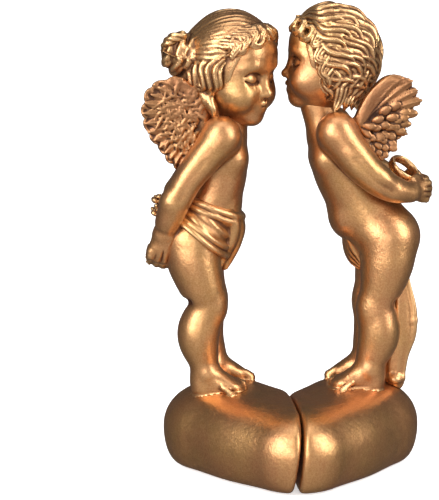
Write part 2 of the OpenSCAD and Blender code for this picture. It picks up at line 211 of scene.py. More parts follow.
    def at(self, points, field):
        """A field's value at each point, between the nearest voxels."""
        p = (np.asarray(points, float) - self.low) / self.step
        p = np.clip(p, 0, np.array(field.shape) - 1.001)
        i = p.astype(int)
        f = p - i
        out = 0.0
        for dx in (0, 1):
            for dy in (0, 1):
                for dz in (0, 1):
                    share = (np.where(dx, f[:, 0], 1 - f[:, 0]) * np.where(dy, f[:, 1], 1 - f[:, 1])
                             * np.where(dz, f[:, 2], 1 - f[:, 2]))
                    out = out + share * field[i[:, 0] + dx, i[:, 1] + dy, i[:, 2] + dz]
        return out

    def skin_point(self, start, way, lift, field):
        """Where a ray from inside a field's solid leaves it, raised by lift."""
        steps = np.linspace(0, RAY_REACH, RAY_STEPS)
        points = np.asarray(start, float) + steps[:, None] * unit(way)
        inside = self.at(points, field) < lift
        last = steps[inside].max() if inside.any() else 0.0
        return np.asarray(start, float) + unit(way) * last

    def blurred(self, radius, limit=None):
        """The mean distance in a cube of this half size round each voxel, of distances up to a limit."""
        n = max(1, int(round(radius / self.step)))
        limit = 2 * radius if limit is None else limit
        f = np.clip(self.d, -limit, limit).astype(np.float32)
        for axis in range(3):
            pad = [(0, 0)] * 3
            pad[axis] = (n + 1, n)
            total = np.cumsum(np.pad(f, pad, mode="edge"), axis=axis, dtype=np.float64)
            size = f.shape[axis]
            high = np.take(total, range(2 * n + 1, 2 * n + 1 + size), axis=axis)
            low = np.take(total, range(0, size), axis=axis)
            f = ((high - low) / (2 * n + 1)).astype(np.float32)
        return f


def quads_of(clay):
    """Vertices in millimetres and quads of a clay's surface, facing outwards, without loose crumbs."""
    d = clay.d.copy()
    for axis in range(3):
        edge = [slice(None)] * 3
        for end in (0, -1):
            edge[axis] = end
            d[tuple(edge)] = np.maximum(d[tuple(edge)], clay.step)
    grid = openvdb.FloatGrid(background=FAR)
    grid.copyFromArray(d)
    v, q = grid.convertToQuads(isovalue=0.0)
    v, q = np.asarray(v, float), np.asarray(q, int)
    label = np.arange(len(v))
    while True:
        low = label[q].min(1)
        new = label.copy()
        np.minimum.at(new, q.ravel(), np.repeat(low, 4))
        new = new[new]
        if (new == label).all():
            break
        label = new
    names, sizes = np.unique(label, return_counts=True)
    keep = np.isin(label, names[sizes > CRUMB * sizes.max()])
    q = q[keep[q].all(1)]
    index = np.cumsum(keep) - 1
    v, q = v[keep], index[q]
    a, b, c = v[q[:, 0]], v[q[:, 1]], v[q[:, 2]]
    if (a * np.cross(b, c)).sum() < 0:
        q = q[:, ::-1]
    return clay.low + v * clay.step, q


def relax(v, q, passes):
    """Evens out the voxels' small steps, without shrinking the form."""
    edges = np.vstack([q[:, [i, (i + 1) % 4]] for i in range(4)])
    count = np.bincount(edges.ravel(), minlength=len(v))[:, None]
    for k in range(2 * passes):
        total = np.zeros_like(v)
        np.add.at(total, edges[:, 0], v[edges[:, 1]])
        np.add.at(total, edges[:, 1], v[edges[:, 0]])
        v = v + (0.5 if k % 2 == 0 else -0.52) * (total / count - v)
    return v


def new_mesh(name, v, q):
    mesh = bpy.data.meshes.new(name)
    mesh.vertices.add(len(v))
    mesh.vertices.foreach_set("co", (v * MM).astype(np.float32).ravel())
    mesh.loops.add(q.size)
    mesh.loops.foreach_set("vertex_index", q.astype(np.int32).ravel())
    mesh.polygons.add(len(q))
    mesh.polygons.foreach_set("loop_start", np.arange(0, q.size, 4, dtype=np.int32))
    mesh.update(calc_edges=True)
    mesh.validate()
    mesh.shade_smooth()
    obj = bpy.data.objects.new(name, mesh)
    bpy.context.collection.objects.link(obj)
    return obj


def figure_of(node):
    """The body a node belongs to, from the side its name starts with."""
    return "left_angel" if node.startswith("left") else "right_angel"


def piece(node, clay, material, place=None, passes=1, mirror_y=None, plain=False):
    """Meshes a clay as the finished surface of a CAD node. The shape follows the node's box from the
    middle that the box had when the shape was drawn. place is (rotation, origin) for clay in axes of
    its own, and a plain form gets no painted shade in its hollows and no painted highlight on its ridges."""
    v, q = quads_of(clay)
    fine = clay.blurred(FINE) - clay.d
    broad = clay.blurred(BROAD) - clay.d
    relief, hollow = clay.at(v, fine), clay.at(v, broad)
    if plain:
        relief, hollow = 0 * relief, 0 * hollow
    if passes:
        v = relax(v, q, passes)
    if place is not None:
        v = v @ place[0].T + place[1]
    if mirror_y is not None:
        v = v * [1, -1, 1] + [0, 2 * mirror_y, 0] + FAR_WING_SHIFT
        q = q[:, ::-1]
    v = v + middle(node) - np.array(DRAWN[node])
    obj = new_mesh(node + "_form", v, q)
    for name, value in (("relief", relief), ("hollow", hollow)):
        attribute = obj.data.attributes.new(name, "FLOAT", "POINT")
        attribute.data.foreach_set("value", value.astype(np.float32))
    obj.data.materials.append(material)
    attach(obj, figure_of(node))
    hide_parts(node)


# ------------------------------------------------------------------ materials


def node_of(tree, kind, **values):
    """A shader node. A value that is a node output is linked, and anything else is set on the socket."""
    n = tree.nodes.new(kind)
    for key, value in values.items():
        if key.startswith("p_"):
            setattr(n, key[2:], value)
            continue
        name = key.replace("_", " ")
        socket = n.inputs[int(key[1:])] if key[1:].isdigit() else n.inputs[name]
        if isinstance(value, bpy.types.NodeSocket):
            tree.links.new(value, socket)
        else:
            socket.default_value = value
    return n


def ramp_of(tree, fac, stops):
    n = node_of(tree, "ShaderNodeValToRGB", i0=fac)
    n.color_ramp.elements.remove(n.color_ramp.elements[1])
    for i, (at, colour) in enumerate(stops):
        e = n.color_ramp.elements[0] if i == 0 else n.color_ramp.elements.new(at)
        e.position = at
        e.color = (*colour, 1)
    return n.outputs[0]


def mix_of(tree, fac, a, b):
    n = node_of(tree, "ShaderNodeMix", p_data_type="RGBA")
    for socket, value in ((n.inputs[0], fac), (n.inputs[6], a), (n.inputs[7], b)):
        if isinstance(value, bpy.types.NodeSocket):
            tree.links.new(value, socket)
        else:
            socket.default_value = (*value, 1) if isinstance(value, tuple) else value
    return n.outputs[2]


def noise_of(tree, where, scale, detail=3.0, rough=0.55):
    return node_of(tree, "ShaderNodeTexNoise", Vector=where, Scale=scale, Detail=detail,
                   Roughness=rough).outputs[0]


def map_of(tree, value, from_low, from_high, to_low, to_high):
    n = node_of(tree, "ShaderNodeMapRange", i0=value, i1=from_low, i2=from_high, i3=to_low, i4=to_high)
    return n.outputs[0]


def new_material(name, slot):
    m = bpy.data.materials.new(name)
    m.use_nodes = True
    m["slot"] = slot
    tree = m.node_tree
    tree.nodes.clear()
    out = tree.nodes.new("ShaderNodeOutputMaterial")
    shader = tree.nodes.new("ShaderNodeBsdfPrincipled")
    tree.links.new(shader.outputs[0], out.inputs[0])
    where = tree.nodes.new("ShaderNodeTexCoord").outputs["Object"]
    return m, tree, shader, where


METALLIC, COAT, COAT_ROUGH = 0.96, 0.4, 0.32
GRAIN = 0.5  # how far the fine speckle goes towards the crests' painted highlight colour


def gold_paint(name, slot, base, olive, shade_colour, speckle_and_highlight, rough, shade_reach=0.10):
    """Metallic gold paint over resin: painted shade in the hollows, painted highlights on the crests, and a fine
    grain.
    """
    m, tree, shader, where = new_material(name, slot)
    relief = node_of(tree, "ShaderNodeAttribute", p_attribute_name="relief").outputs["Fac"]
    hollow = node_of(tree, "ShaderNodeAttribute", p_attribute_name="hollow").outputs["Fac"]
    drift = noise_of(tree, where, 45.0, 3.0)
    colour = mix_of(tree, map_of(tree, drift, 0.38, 0.66, 0.0, 1.0), base, olive)
    speckle = noise_of(tree, where, 1400.0, 2.0, 0.7)
    colour = mix_of(tree, map_of(tree, speckle, 0.35, 0.7, 0.0, GRAIN), colour, speckle_and_highlight)
    patchiness = noise_of(tree, where, 260.0, 4.0, 0.65)
    # painted shade: hollows and fine creases are darkened, in patches, towards the paint's darkest colour
    hollow_shade = node_of(tree, "ShaderNodeMath", p_operation="MULTIPLY",
                   i0=map_of(tree, hollow, -0.02, -shade_reach * 3.2, 0.0, 1.0),
                   i1=map_of(tree, patchiness, 0.3, 0.6, 0.55, 1.0)).outputs[0]
    fine = map_of(tree, relief, -0.012, -shade_reach, 0.0, 0.9)
    painted_shade = node_of(tree, "ShaderNodeMath", p_operation="MAXIMUM", i0=hollow_shade, i1=fine).outputs[0]
    colour = mix_of(tree, painted_shade, colour, shade_colour)
    # painted highlight: ridges are paled, in patches, towards the paint's palest colour
    painted_highlight = node_of(tree, "ShaderNodeMath", p_operation="MULTIPLY",
                   i0=map_of(tree, relief, 0.03, 0.14, 0.0, 0.75),
                   i1=map_of(tree, patchiness, 0.35, 0.62, 0.35, 1.0)).outputs[0]
    colour = mix_of(tree, painted_highlight, colour, speckle_and_highlight)
    tree.links.new(colour, shader.inputs["Base Color"])
    shader.inputs["Metallic"].default_value = METALLIC
    roughness = node_of(tree, "ShaderNodeMath", p_operation="ADD",
                        i0=map_of(tree, patchiness, 0.3, 0.7, rough - 0.05, rough + 0.07),
                        i1=map_of(tree, painted_shade, 0.0, 1.0, 0.0, 0.22)).outputs[0]
    tree.links.new(roughness, shader.inputs["Roughness"])
    shader.inputs["Coat Weight"].default_value = COAT
    shader.inputs["Coat Roughness"].default_value = COAT_ROUGH
    lumps = noise_of(tree, where, 520.0, 4.0, 0.6)
    first = node_of(tree, "ShaderNodeBump", Strength=0.35, Distance=0.0005, Height=lumps).outputs[0]
    bump = node_of(tree, "ShaderNodeBump", Strength=0.5, Distance=0.00012, Height=speckle,
                   Normal=first).outputs[0]
    tree.links.new(bump, shader.inputs["Normal"])
    return m


# Each paint's darkest colour is painted shade for its hollows; its palest colour is the painted highlight on its
# ridges and the speckle of its grain.
SATIN = gold_paint("satin_gold", "gold_satin", base=(0.55, 0.240, 0.098), olive=(0.51, 0.265, 0.090),
                   shade_colour=(0.11, 0.034, 0.011), speckle_and_highlight=(0.78, 0.48, 0.22), rough=0.33)
GLOSS = gold_paint("bright_gold", "gold_gloss", base=(0.57, 0.262, 0.108), olive=(0.54, 0.29, 0.10),
                   shade_colour=(0.085, 0.026, 0.008), speckle_and_highlight=(0.86, 0.57, 0.28), rough=0.27)
# painted shade: the wings get a darker copy of the same gold paint, with deeper painted shade in their hollows
DEEP = gold_paint("shaded_gold", "gold_gloss", base=(0.35, 0.140, 0.056), olive=(0.36, 0.170, 0.060),
                  shade_colour=(0.045, 0.015, 0.006), speckle_and_highlight=(0.47, 0.25, 0.11), rough=0.32, shade_reach=0.05)


def felt_cloth():
    m, tree, shader, where = new_material("felt", "felt")
    fibres = noise_of(tree, where, 1800.0, 6.0, 0.8)
    tufts = noise_of(tree, where, 240.0, 3.0)
    colour = mix_of(tree, map_of(tree, fibres, 0.3, 0.7, 0.0, 1.0), (0.016, 0.013, 0.011),
                    (0.075, 0.066, 0.058))
    colour = mix_of(tree, map_of(tree, tufts, 0.35, 0.7, 0.0, 0.4), colour, (0.03, 0.026, 0.024))
    tree.links.new(colour, shader.inputs["Base Color"])
    shader.inputs["Roughness"].default_value = 0.95
    shader.inputs["Sheen Weight"].default_value = 0.35
    bump = node_of(tree, "ShaderNodeBump", Strength=0.8, Distance=0.0004, Height=fibres).outputs[0]
    tree.links.new(bump, shader.inputs["Normal"])
    return m


def steel_rod():
    m, tree, shader, where = new_material("dowel_steel", "steel_dowel")
    stretched = node_of(tree, "ShaderNodeMapping", Vector=where, Scale=(900, 900, 40)).outputs[0]
    lines = noise_of(tree, stretched, 3.0, 5.0, 0.7)
    colour = mix_of(tree, map_of(tree, lines, 0.3, 0.7, 0.0, 1.0), (0.42, 0.43, 0.44), (0.62, 0.63, 0.65))
    tree.links.new(colour, shader.inputs["Base Color"])
    shader.inputs["Metallic"].default_value = 1.0
    tree.links.new(map_of(tree, lines, 0.2, 0.8, 0.22, 0.4), shader.inputs["Roughness"])
    return m


def raw_resin():
    m, tree, shader, where = new_material("peg_resin", "bare_resin")
    specks = noise_of(tree, where, 700.0, 5.0, 0.7)
    colour = mix_of(tree, map_of(tree, specks, 0.3, 0.7, 0.0, 1.0), (0.62, 0.58, 0.50), (0.74, 0.71, 0.64))
    tree.links.new(colour, shader.inputs["Base Color"])
    tree.links.new(map_of(tree, specks, 0.2, 0.8, 0.5, 0.75), shader.inputs["Roughness"])
    bump = node_of(tree, "ShaderNodeBump", Strength=0.4, Distance=0.0003, Height=specks).outputs[0]
    tree.links.new(bump, shader.inputs["Normal"])
    return m


FELT, STEEL, RESIN = felt_cloth(), steel_rod(), raw_resin()


# ------------------------------------------------------------------ heart base

HEART_H, SIDE_Z, FELT_T, FELT_MARGIN = 35.0, 16.0, 1.0, 3.0
LOBE, TIP, INNER = (28.0, 11.5, 29.0), (0.0, -26.0, 24.0), (2.0, 8.5, 2.5)
TOP_INSET, FOOT_INSET = 23.0, 6.0
DOME, BULGE = 0.9, 1.6  # how far the top falls towards its edges, and the sides swell
FULL = 2.2  # power of the upper edge's curve, where 2 is an ellipse
SEAM_AT, SEAM_GAP, SEAM_YAW, SEAM_ROUND = (0.9, -36.0), 0.6, 3.0, 2.8
LEAN = {-1: 7.6, 1: 5.4}  # the seam's slope on each side, in degrees
SUNK = 0.15  # how far a form that stands on the heart goes into it


def between_discs(x, y, a, b, bulge=0.0):
    """Distance from the outline that wraps two discs, each (x, y, radius), and swells between them."""
    size = np.hypot(b[0] - a[0], b[1] - a[1])
    ex, ey = (b[0] - a[0]) / size, (b[1] - a[1]) / size
    along, side = (x - a[0]) * ex + (y - a[1]) * ey, np.abs((x - a[0]) * ey - (y - a[1]) * ex)
    slope = (a[2] - b[2]) / size
    level = np.sqrt(1 - slope**2)
    k = along * level - side * slope
    return np.where(k < 0, np.hypot(side, along) - a[2],
                    np.where(k > level * size, np.hypot(side, along - size) - b[2],
                             side * level + along * slope - a[2]
                             - bulge * np.sin(np.pi * np.clip(k / (level * size), 0, 1)) ** 2))


def outline(x, y, side):
    """Distance from the heart's widest line, seen from above."""
    lobe, inner = (side * LOBE[0], LOBE[1], LOBE[2]), (side * INNER[0], INNER[1], INNER[2])
    return np.minimum(between_discs(x, y, lobe, TIP, BULGE), between_discs(x, y, inner, TIP))


def upper_height(x, y, side):
    """How high the domed top stands over the widest line."""
    fall = np.clip(((x - side * 30) ** 2 + (y - 12) ** 2) / 40**2, 0, 1.5)
    return HEART_H - SIDE_Z - DOME * fall


def heart_top(x, y, side):
    """Height of the heart's upper surface at a place."""
    u = np.clip(1 + outline(x, y, side) / TOP_INSET, 0, 1)
    return SIDE_Z + upper_height(x, y, side) * (1 - u**FULL) ** (1 / FULL)


def pillow(x, y, z, side):
    """Distance from one half of the pillow-shaped heart, before its cut."""
    upper, lower = upper_height(x, y, side), SIDE_Z - FELT_T
    rise, fall = (z - SIDE_Z) / upper, (SIDE_Z - z) / lower
    high = z > SIDE_Z
    power = np.where(high, FULL, 2.0)
    run = np.abs(np.where(high, rise, fall))
    left = np.clip(1 - run**power, 0, 1)
    wide, tall = np.where(high, TOP_INSET, FOOT_INSET), np.where(high, upper, lower)
    inset = wide * (1 - left ** (1 / power))
    slope = wide / tall * run ** (power - 1) * np.maximum(left, 0.02) ** (1 / power - 1)
    d = (outline(x, y, side) + inset) / np.sqrt(1 + slope**2)
    return np.maximum(d, np.maximum(z - SIDE_Z - upper, FELT_T - z))


def stand_on_heart(clay, side, k):
    """Runs a form's foot out over the heart's surface, and cuts away what is inside the heart."""
    _, x, y, z = clay.everywhere()
    ground = pillow(x, y, z, side)
    clay.d = np.maximum(smooth_min(clay.d, ground, k), -ground - SUNK).astype(np.float32)


def beyond_cut(x, y, z, side):
    """Distance from the half space on one side of the leaning seam."""
    lean, yaw = np.radians(LEAN[side]), np.radians(SEAM_YAW)
    flat = (x - SEAM_AT[0]) * np.cos(yaw) + (y - SEAM_AT[1]) * np.sin(yaw)
    across = flat * np.cos(lean) - (z - HEART_H) * np.sin(lean)
    return SEAM_GAP / 2 - side * across


def base_half(side, node):
    clay = clay_for(node, 2.5, 0.75)
    _, x, y, z = clay.everywhere()
    clay.d[:] = smooth_max(pillow(x, y, z, side), beyond_cut(x, y, z, side), SEAM_ROUND)
    return clay


def felt_pad(side, node):
    clay = clay_for(node, 1.5, 0.5)
    _, x, y, z = clay.everywhere()
    seam = SEAM_AT[0] - HEART_H * np.tan(np.radians(LEAN[side])) + side * (SEAM_GAP + FELT_MARGIN) / 2
    yaw = np.radians(SEAM_YAW)
    cut = -side * ((x - seam) * np.cos(yaw) + (y - SEAM_AT[1]) * np.sin(yaw))
    edge = np.maximum(outline(x, y, side) + FOOT_INSET + FELT_MARGIN, cut)
    edge = edge + 0.12 * np.sin(1.7 * x) * np.sin(1.9 * y)
    clay.d[:] = smooth_max(edge, np.abs(z - FELT_T / 2) - FELT_T / 2, 0.4)
    return clay


# ------------------------------------------------------------------ bodies

LEFT = {
    "side": -1,
    "trunk": [[-41, 13, 103, 14, 16.5], [-37, 13, 114, 12.8, 14.5], [-33, 13, 122, 12, 14],
              [-31, 13, 132, 12.1, 14.5], [-29.5, 13, 143, 9.8, 15.5]],
    "neck": [[-28, 13, 147, 7.4], [-23.5, 13, 160, 7]],
    "seat": [[-46.5, 7.5, 101, 10.4], [-46, 18.5, 101, 10.2]],
    "near_leg": [[-38.6, 4, 36, 6], [-38.8, 4, 45.5, 6.4], [-40.6, 4, 54, 8.1], [-40.6, 4, 62, 8.8],
                 [-37.5, 4, 74, 8.3], [-39.6, 4, 81, 9.9], [-43, 5, 92, 11.8], [-43.5, 6.5, 101, 12.3]],
    "far_leg": [[-34, 21.5, 36, 5.7], [-34, 21.5, 46, 5.9], [-37, 21.5, 54, 7.6], [-37.6, 21.5, 62, 8.3],
                [-36.4, 21.5, 73, 8], [-38, 21.5, 82, 9.2], [-41, 20.5, 92, 11], [-42, 19.5, 101, 12]],
    "near_arm": [[-31, -2, 147.5, 7.8], [-38.5, -4.5, 138.5, 7.3], [-45.3, -5.5, 130, 6.5],
                 [-50, -5, 121.5, 6.3], [-53.2, -3, 114, 6.1], [-55.4, 0.5, 106.5, 5]],
    "far_arm": [[-27, 28, 147, 7.8], [-34, 30.5, 138, 7], [-42, 31.5, 129, 6.4],
                [-48, 28.5, 120, 6.2], [-52.5, 21, 109, 5], [-54, 16.5, 103, 4.6]],
    "feet": ((-20, 1), (12, -1)),
    "front": 1,
}
RIGHT = {
    "side": 1,
    "trunk": [[41, 13, 103, 14.4, 17], [34.5, 13, 110.5, 15, 15.2], [28, 13, 120, 13.2, 14.2],
              [21.6, 13, 132, 12.2, 14.8], [19, 13, 142, 10.4, 15.6]],
    "neck": [[15.5, 13, 147, 7.8], [11.5, 13, 160, 7.6]],
    "seat": [[45.6, 7.5, 101.5, 10.6], [45, 18.5, 101.5, 10.4]],
    "near_leg": [[34.6, 4, 36, 6.1], [34.9, 4, 46, 6.8], [36.8, 4, 52, 7.9], [38.0, 4, 61, 8.6],
                 [37.6, 4, 72, 8.3], [39.4, 4, 79, 9.3], [42, 5, 90, 11.8], [43, 6.5, 101, 12.8]],
    "far_leg": [[34.6, 23.5, 36, 5.8], [35, 23.2, 46, 6.2], [37.2, 22.5, 54, 7.9], [37.6, 22, 62, 8.2],
                [37.4, 21.7, 72, 7.8], [38.8, 21.5, 81, 9.2], [41, 20.5, 91, 11.4], [42, 19.5, 101, 12.4]],
    "near_arm": [[19, -2, 148.5, 8.1], [26.4, -4.5, 138.5, 8.1], [34.6, -5.5, 129.6, 6.9],
                 [43, -3.5, 124.2, 6.0], [51.0, 0, 121.9, 4.5]],
    "far_arm": [[20, 28, 148, 7.8], [27, 31, 139, 7.4], [35, 31.5, 130.5, 6.7],
                [43.5, 28, 125.5, 6.3], [50.5, 22, 123.5, 4.8]],
    "feet": ((188, -1), (172, 1)),
    "front": -1,
}
FOOT_LEN, FOOT_W = 23.0, 10.0
TOE_R, TOE_PITCH = (2.4, 1.8, 1.7, 1.6, 1.5), 2.05
MID_Y = 13.0


def pour_foot(clay, side, ankle, way, big_toe):
    """A foot on the heart's surface. big_toe is the side of the great toe along the foot's own y."""
    axes = turned(z=way)

    def on_heart(p):
        q = axes @ np.array([p[0], p[1], 0.0]) + [ankle[0], ankle[1], 0.0]
        return np.array([q[0], q[1], heart_top(q[0], q[1], side) + p[2]])

    clay.egg(on_heart([-1.0, 0, 3.2]), (5.0, 4.8, 5.0), 2.6, axes=axes)
    clay.egg(on_heart([5.0, 0, 1.4]), (7.0, 4.7, 3.6), 2.6, axes=axes)
    clay.sweep([on_heart(p) for p in ([-1, 0, 7.2], [4, 0.2 * big_toe, 6.0], [9, 0.4 * big_toe, 4.0],
                                      [12.5, 0.3 * big_toe, 2.7])],
               [4.6, 4.9, 5.0, 5.0], [5.2, 4.6, 3.4, 2.6], k=3.0)
    clay.egg(on_heart([10.5, big_toe * 2.6, 2.2]), (3.6, 2.8, 2.6), 2.0, axes=axes)
    for i, r in enumerate(TOE_R):
        across = big_toe * (FOOT_W / 2 - 1.2 - i * TOE_PITCH)
        reach = FOOT_LEN - 7.2 - (0.2 if i == 1 else 0.95 * i)
        clay.limb([[*on_heart([FOOT_LEN - 12.4, across * 0.82, 2.1]), r * 0.9],
                   [*on_heart([reach - 2.6, across * 0.98, 3.0]), r * 0.86],
                   [*on_heart([reach, across, 1.5]), r]], k=0.45)
        clay.egg(on_heart([reach + r * 0.35, across, 1.5 + r * 0.8]), (r * 0.6, r * 0.6, 0.5), 0.2,
                 axes=axes @ turned(y=28))


def pour_body(clay, fig):
    """Trunk, neck, legs and feet."""
    front = fig["front"]
    rows = np.array(fig["trunk"])
    clay.sweep(rows[:, :3], rows[:, 3], rows[:, 4], up=(0, 1, 0), k=1.0, steps=6)
    clay.limb(fig["neck"], k=6.0)
    for leg in ("near_leg", "far_leg"):
        clay.limb(fig[leg], k=4.0)
    for p in fig["seat"]:
        clay.egg(p[:3], p[3], 3.2)
    clay.d = clay.blurred(1.5, FAR)
    top, hip = rows[-1], rows[0]
    for s in (-1, 1):
        clay.egg([top[0] - front * 4.5, MID_Y + s * 8.5, top[2] - 3], (5.5, 6, 8.5), 5.0)
        clay.egg([top[0] + front * 5.2, MID_Y + s * 6.8, top[2] - 6], (4.6, 6.2, 5.2), 5.0)
    back = np.array([[r[0] - front * (r[3] + 1.4), MID_Y, r[2], 1.7] for r in rows[1:]])
    clay.limb(back, k=4.5, carve=True)
    clay.limb([[hip[0] - front * 13, MID_Y, 109, 1.0], [hip[0] - front * 17.5, MID_Y, 101, 1.6],
               [hip[0] - front * 12.5, MID_Y, 92.5, 1.4]], k=3.2, carve=True)
    belly = rows[1]
    clay.egg([belly[0] + front * (belly[3] - 3.5), MID_Y, belly[2] - 1], (5.5, 9.5, 7.5), 5.0)
    clay.egg([belly[0] + front * (belly[3] + 2.6), MID_Y, belly[2]], 1.5, 1.2, carve=True)
    for leg in ("near_leg", "far_leg"):
        shin, knee = np.array(fig[leg][3]), np.array(fig[leg][4])
        clay.egg(knee[:3] + [front * 3.6, 0, -2.0], (4.4, 5.2, 6.0), 5.0)
        clay.egg(shin[:3] + [-front * 2.2, 0, -2.0], (6.4, 6.8, 9.5), 5.0)
        behind = knee[:3] + [-front * (knee[3] + 1.3), 0, 0.5]
        clay.limb([[behind[0] + front * 1.5, behind[1] - 5.0, behind[2] + 0.6, 0.3], [*behind, 0.4],
                   [behind[0] + front * 1.5, behind[1] + 5.0, behind[2] + 0.6, 0.3]], k=4.0, carve=True)
        ankle = np.array(fig[leg][0])
        for s in (-1, 1):
            clay.egg([ankle[0] + front * 0.8, ankle[1] + s * 4.6, 43.0], (2.0, 1.7, 2.2), 3.5)
    for leg, (way, big_toe) in zip(("near_leg", "far_leg"), fig["feet"]):
        pour_foot(clay, fig["side"], fig[leg][0], way, big_toe)


def pour_arm(clay, fig, name):
    """One arm without its hand."""
    rows = np.array(fig[name], float)
    out = 1 if name == "far_arm" else -1
    clay.limb(rows, k=1.0)
    clay.egg(rows[0][:3] + [0, 0, 0.4], rows[0][3] + 0.6, 3.0)
    elbow = rows[3] if fig["side"] < 0 else rows[2]
    clay.egg(elbow[:3] + [-fig["front"] * 2.6, out * 1.0, -1.0], elbow[3] - 1.6, 3.0)
    upper = [[*(rows[i][:3] + [fig["front"] * 0.5, out * (rows[i][3] + 1.0), 0]), 0.9] for i in (1, 2, 3)]
    clay.limb(upper, k=2.6, carve=True)
    clay.d = clay.blurred(1.1, FAR)
    if fig["side"] > 0:
        return
    wrist, fore = rows[-1], rows[-2]
    ring = unit(wrist[:3] - fore[:3])
    side = unit(np.cross(ring, [0, 1, 0.2]))
    rise = np.cross(ring, side)
    loop = [[*(wrist[:3] - ring * 1.0 + (side * np.cos(a) + rise * np.sin(a)) * (wrist[3] + 1.6)), 0.4]
            for a in np.linspace(0, 2 * np.pi, 9)]
    clay.limb(loop, k=2.6, carve=True)


def pour_hand(clay, place, turn, palm, size):
    """A closed hand that points along -z, with its thumb on +x and its fingers curled to palm along y."""
    axes, place = turned(*turn), np.array(place, float)

    def out(p):
        return axes @ (np.array(p, float) * size) + place

    clay.egg(out([0, 0, 1.2]), np.array([5.4, 4.2, 6.2]) * size, 2.6, axes=axes)
    clay.egg(out([-0.4, 0, -3.4]), np.array([6.0, 4.0, 4.6]) * size, 2.2, axes=axes)
    for i, length in enumerate((0.84, 0.97, 1.0, 0.92)):
        x = -4.6 + i * 2.75
        joints = ([x, -palm * 0.9, -4.2, 1.9], [x * 1.02, -palm * 0.8, -7.2 * length, 1.85],
                  [x, palm * 2.2, -8.6 * length, 1.75], [x * 0.97, palm * 4.6, -7.4 * length, 1.65],
                  [x * 0.94, palm * 5.2, -4.6, 1.5])
        clay.limb([[*out(j[:3]), j[3] * size] for j in joints], k=0.9)
    for x in (-3.2, -0.45, 2.3):
        clay.limb([[*out([x, -palm * 4.4, -1.6]), 0.1], [*out([x, -palm * 3.7, -4.6]), 0.3],
                   [*out([x, -palm * 2.8, -7.6]), 0.25]], k=0.8, carve=True)
    thumb = ([4.6, palm * 0.3, 2.8, 2.3], [6.0, palm * 1.9, -0.6, 2.2], [5.7, palm * 3.9, -3.8, 2.0],
             [4.2, palm * 5.4, -5.8, 1.7])
    clay.limb([[*out(j[:3]), j[3] * size] for j in thumb], k=1.0)


HANDS = {  # the palm's middle, its turns in degrees, the way its fingers curl, and its size
    "left_near_arm": ([-55.8, 1.8, 101.2], (14, 8, 6), 1, 1.08),
    "left_far_arm": ([-55.6, 13.0, 97.2], (-24, 8, -10), -1, 1.0),
    "right_near_arm": ([54.6, 3.4, 122.6], (0, -84, 30), 1, 0.84),
    "right_far_arm": ([54.6, 17.4, 123.8], (0, -80, -30), -1, 0.84),
}


def joined(base, limb, shoulder, clay):
    """How two forms' distances run together at the shoulder, and only touch elsewhere."""
    _, x, y, z = clay.everywhere()
    far = ((x - shoulder[0]) ** 2 + (y - shoulder[1]) ** 2 + (z - shoulder[2]) ** 2) / 10.0**2
    return smooth_min(base, limb, 0.5 + 4.5 * np.exp(-far))


def body_of_figure(fig, prefix):
    node = prefix + "_body"
    clay = clay_for(node, 6, 0.5)
    pour_body(clay, fig)
    core = clay.d.copy()
    for name in ("near_arm", "far_arm"):
        arm = clay_for(node, 6, 0.5)
        pour_arm(arm, fig, name)
        whole = joined(clay.d, arm.d, fig[name][0], clay)
        under = np.clip((core - arm.d) / 0.8, 0, 1)
        clay.d = np.maximum(whole + 0.07 * under, core - arm.d - 2.0).astype(np.float32)
    stand_on_heart(clay, fig["side"], 1.6)
    z = clay.everywhere()[3]
    clay.crop(np.where(z < HEART_H + 8, core - 1.6, -FAR))
    return clay


def arm_of_figure(fig, prefix, name):
    node = f"{prefix}_{name}"
    clay, core = clay_for(node, 4, 0.42), clay_for(node, 4, 0.42)
    pour_arm(clay, fig, name)
    alone = clay.d.copy()
    pour_body(core, fig)
    clay.d = np.maximum(joined(core.d, alone, fig[name][0], clay), alone - core.d).astype(np.float32)
    pour_hand(clay, *HANDS[node])
    return clay


# ------------------------------------------------------------------ heads

LEFT_HEAD_SIZE = 1.08
HEAD = {  # rotation with scale, and place of the skull's middle
    "left": (turned(y=8, z=-38) * LEFT_HEAD_SIZE, np.array([-25.2, 13, 177.4])),
    "right": (turned(y=-4, z=180), np.array([16.8, 13, 180.3])),
}


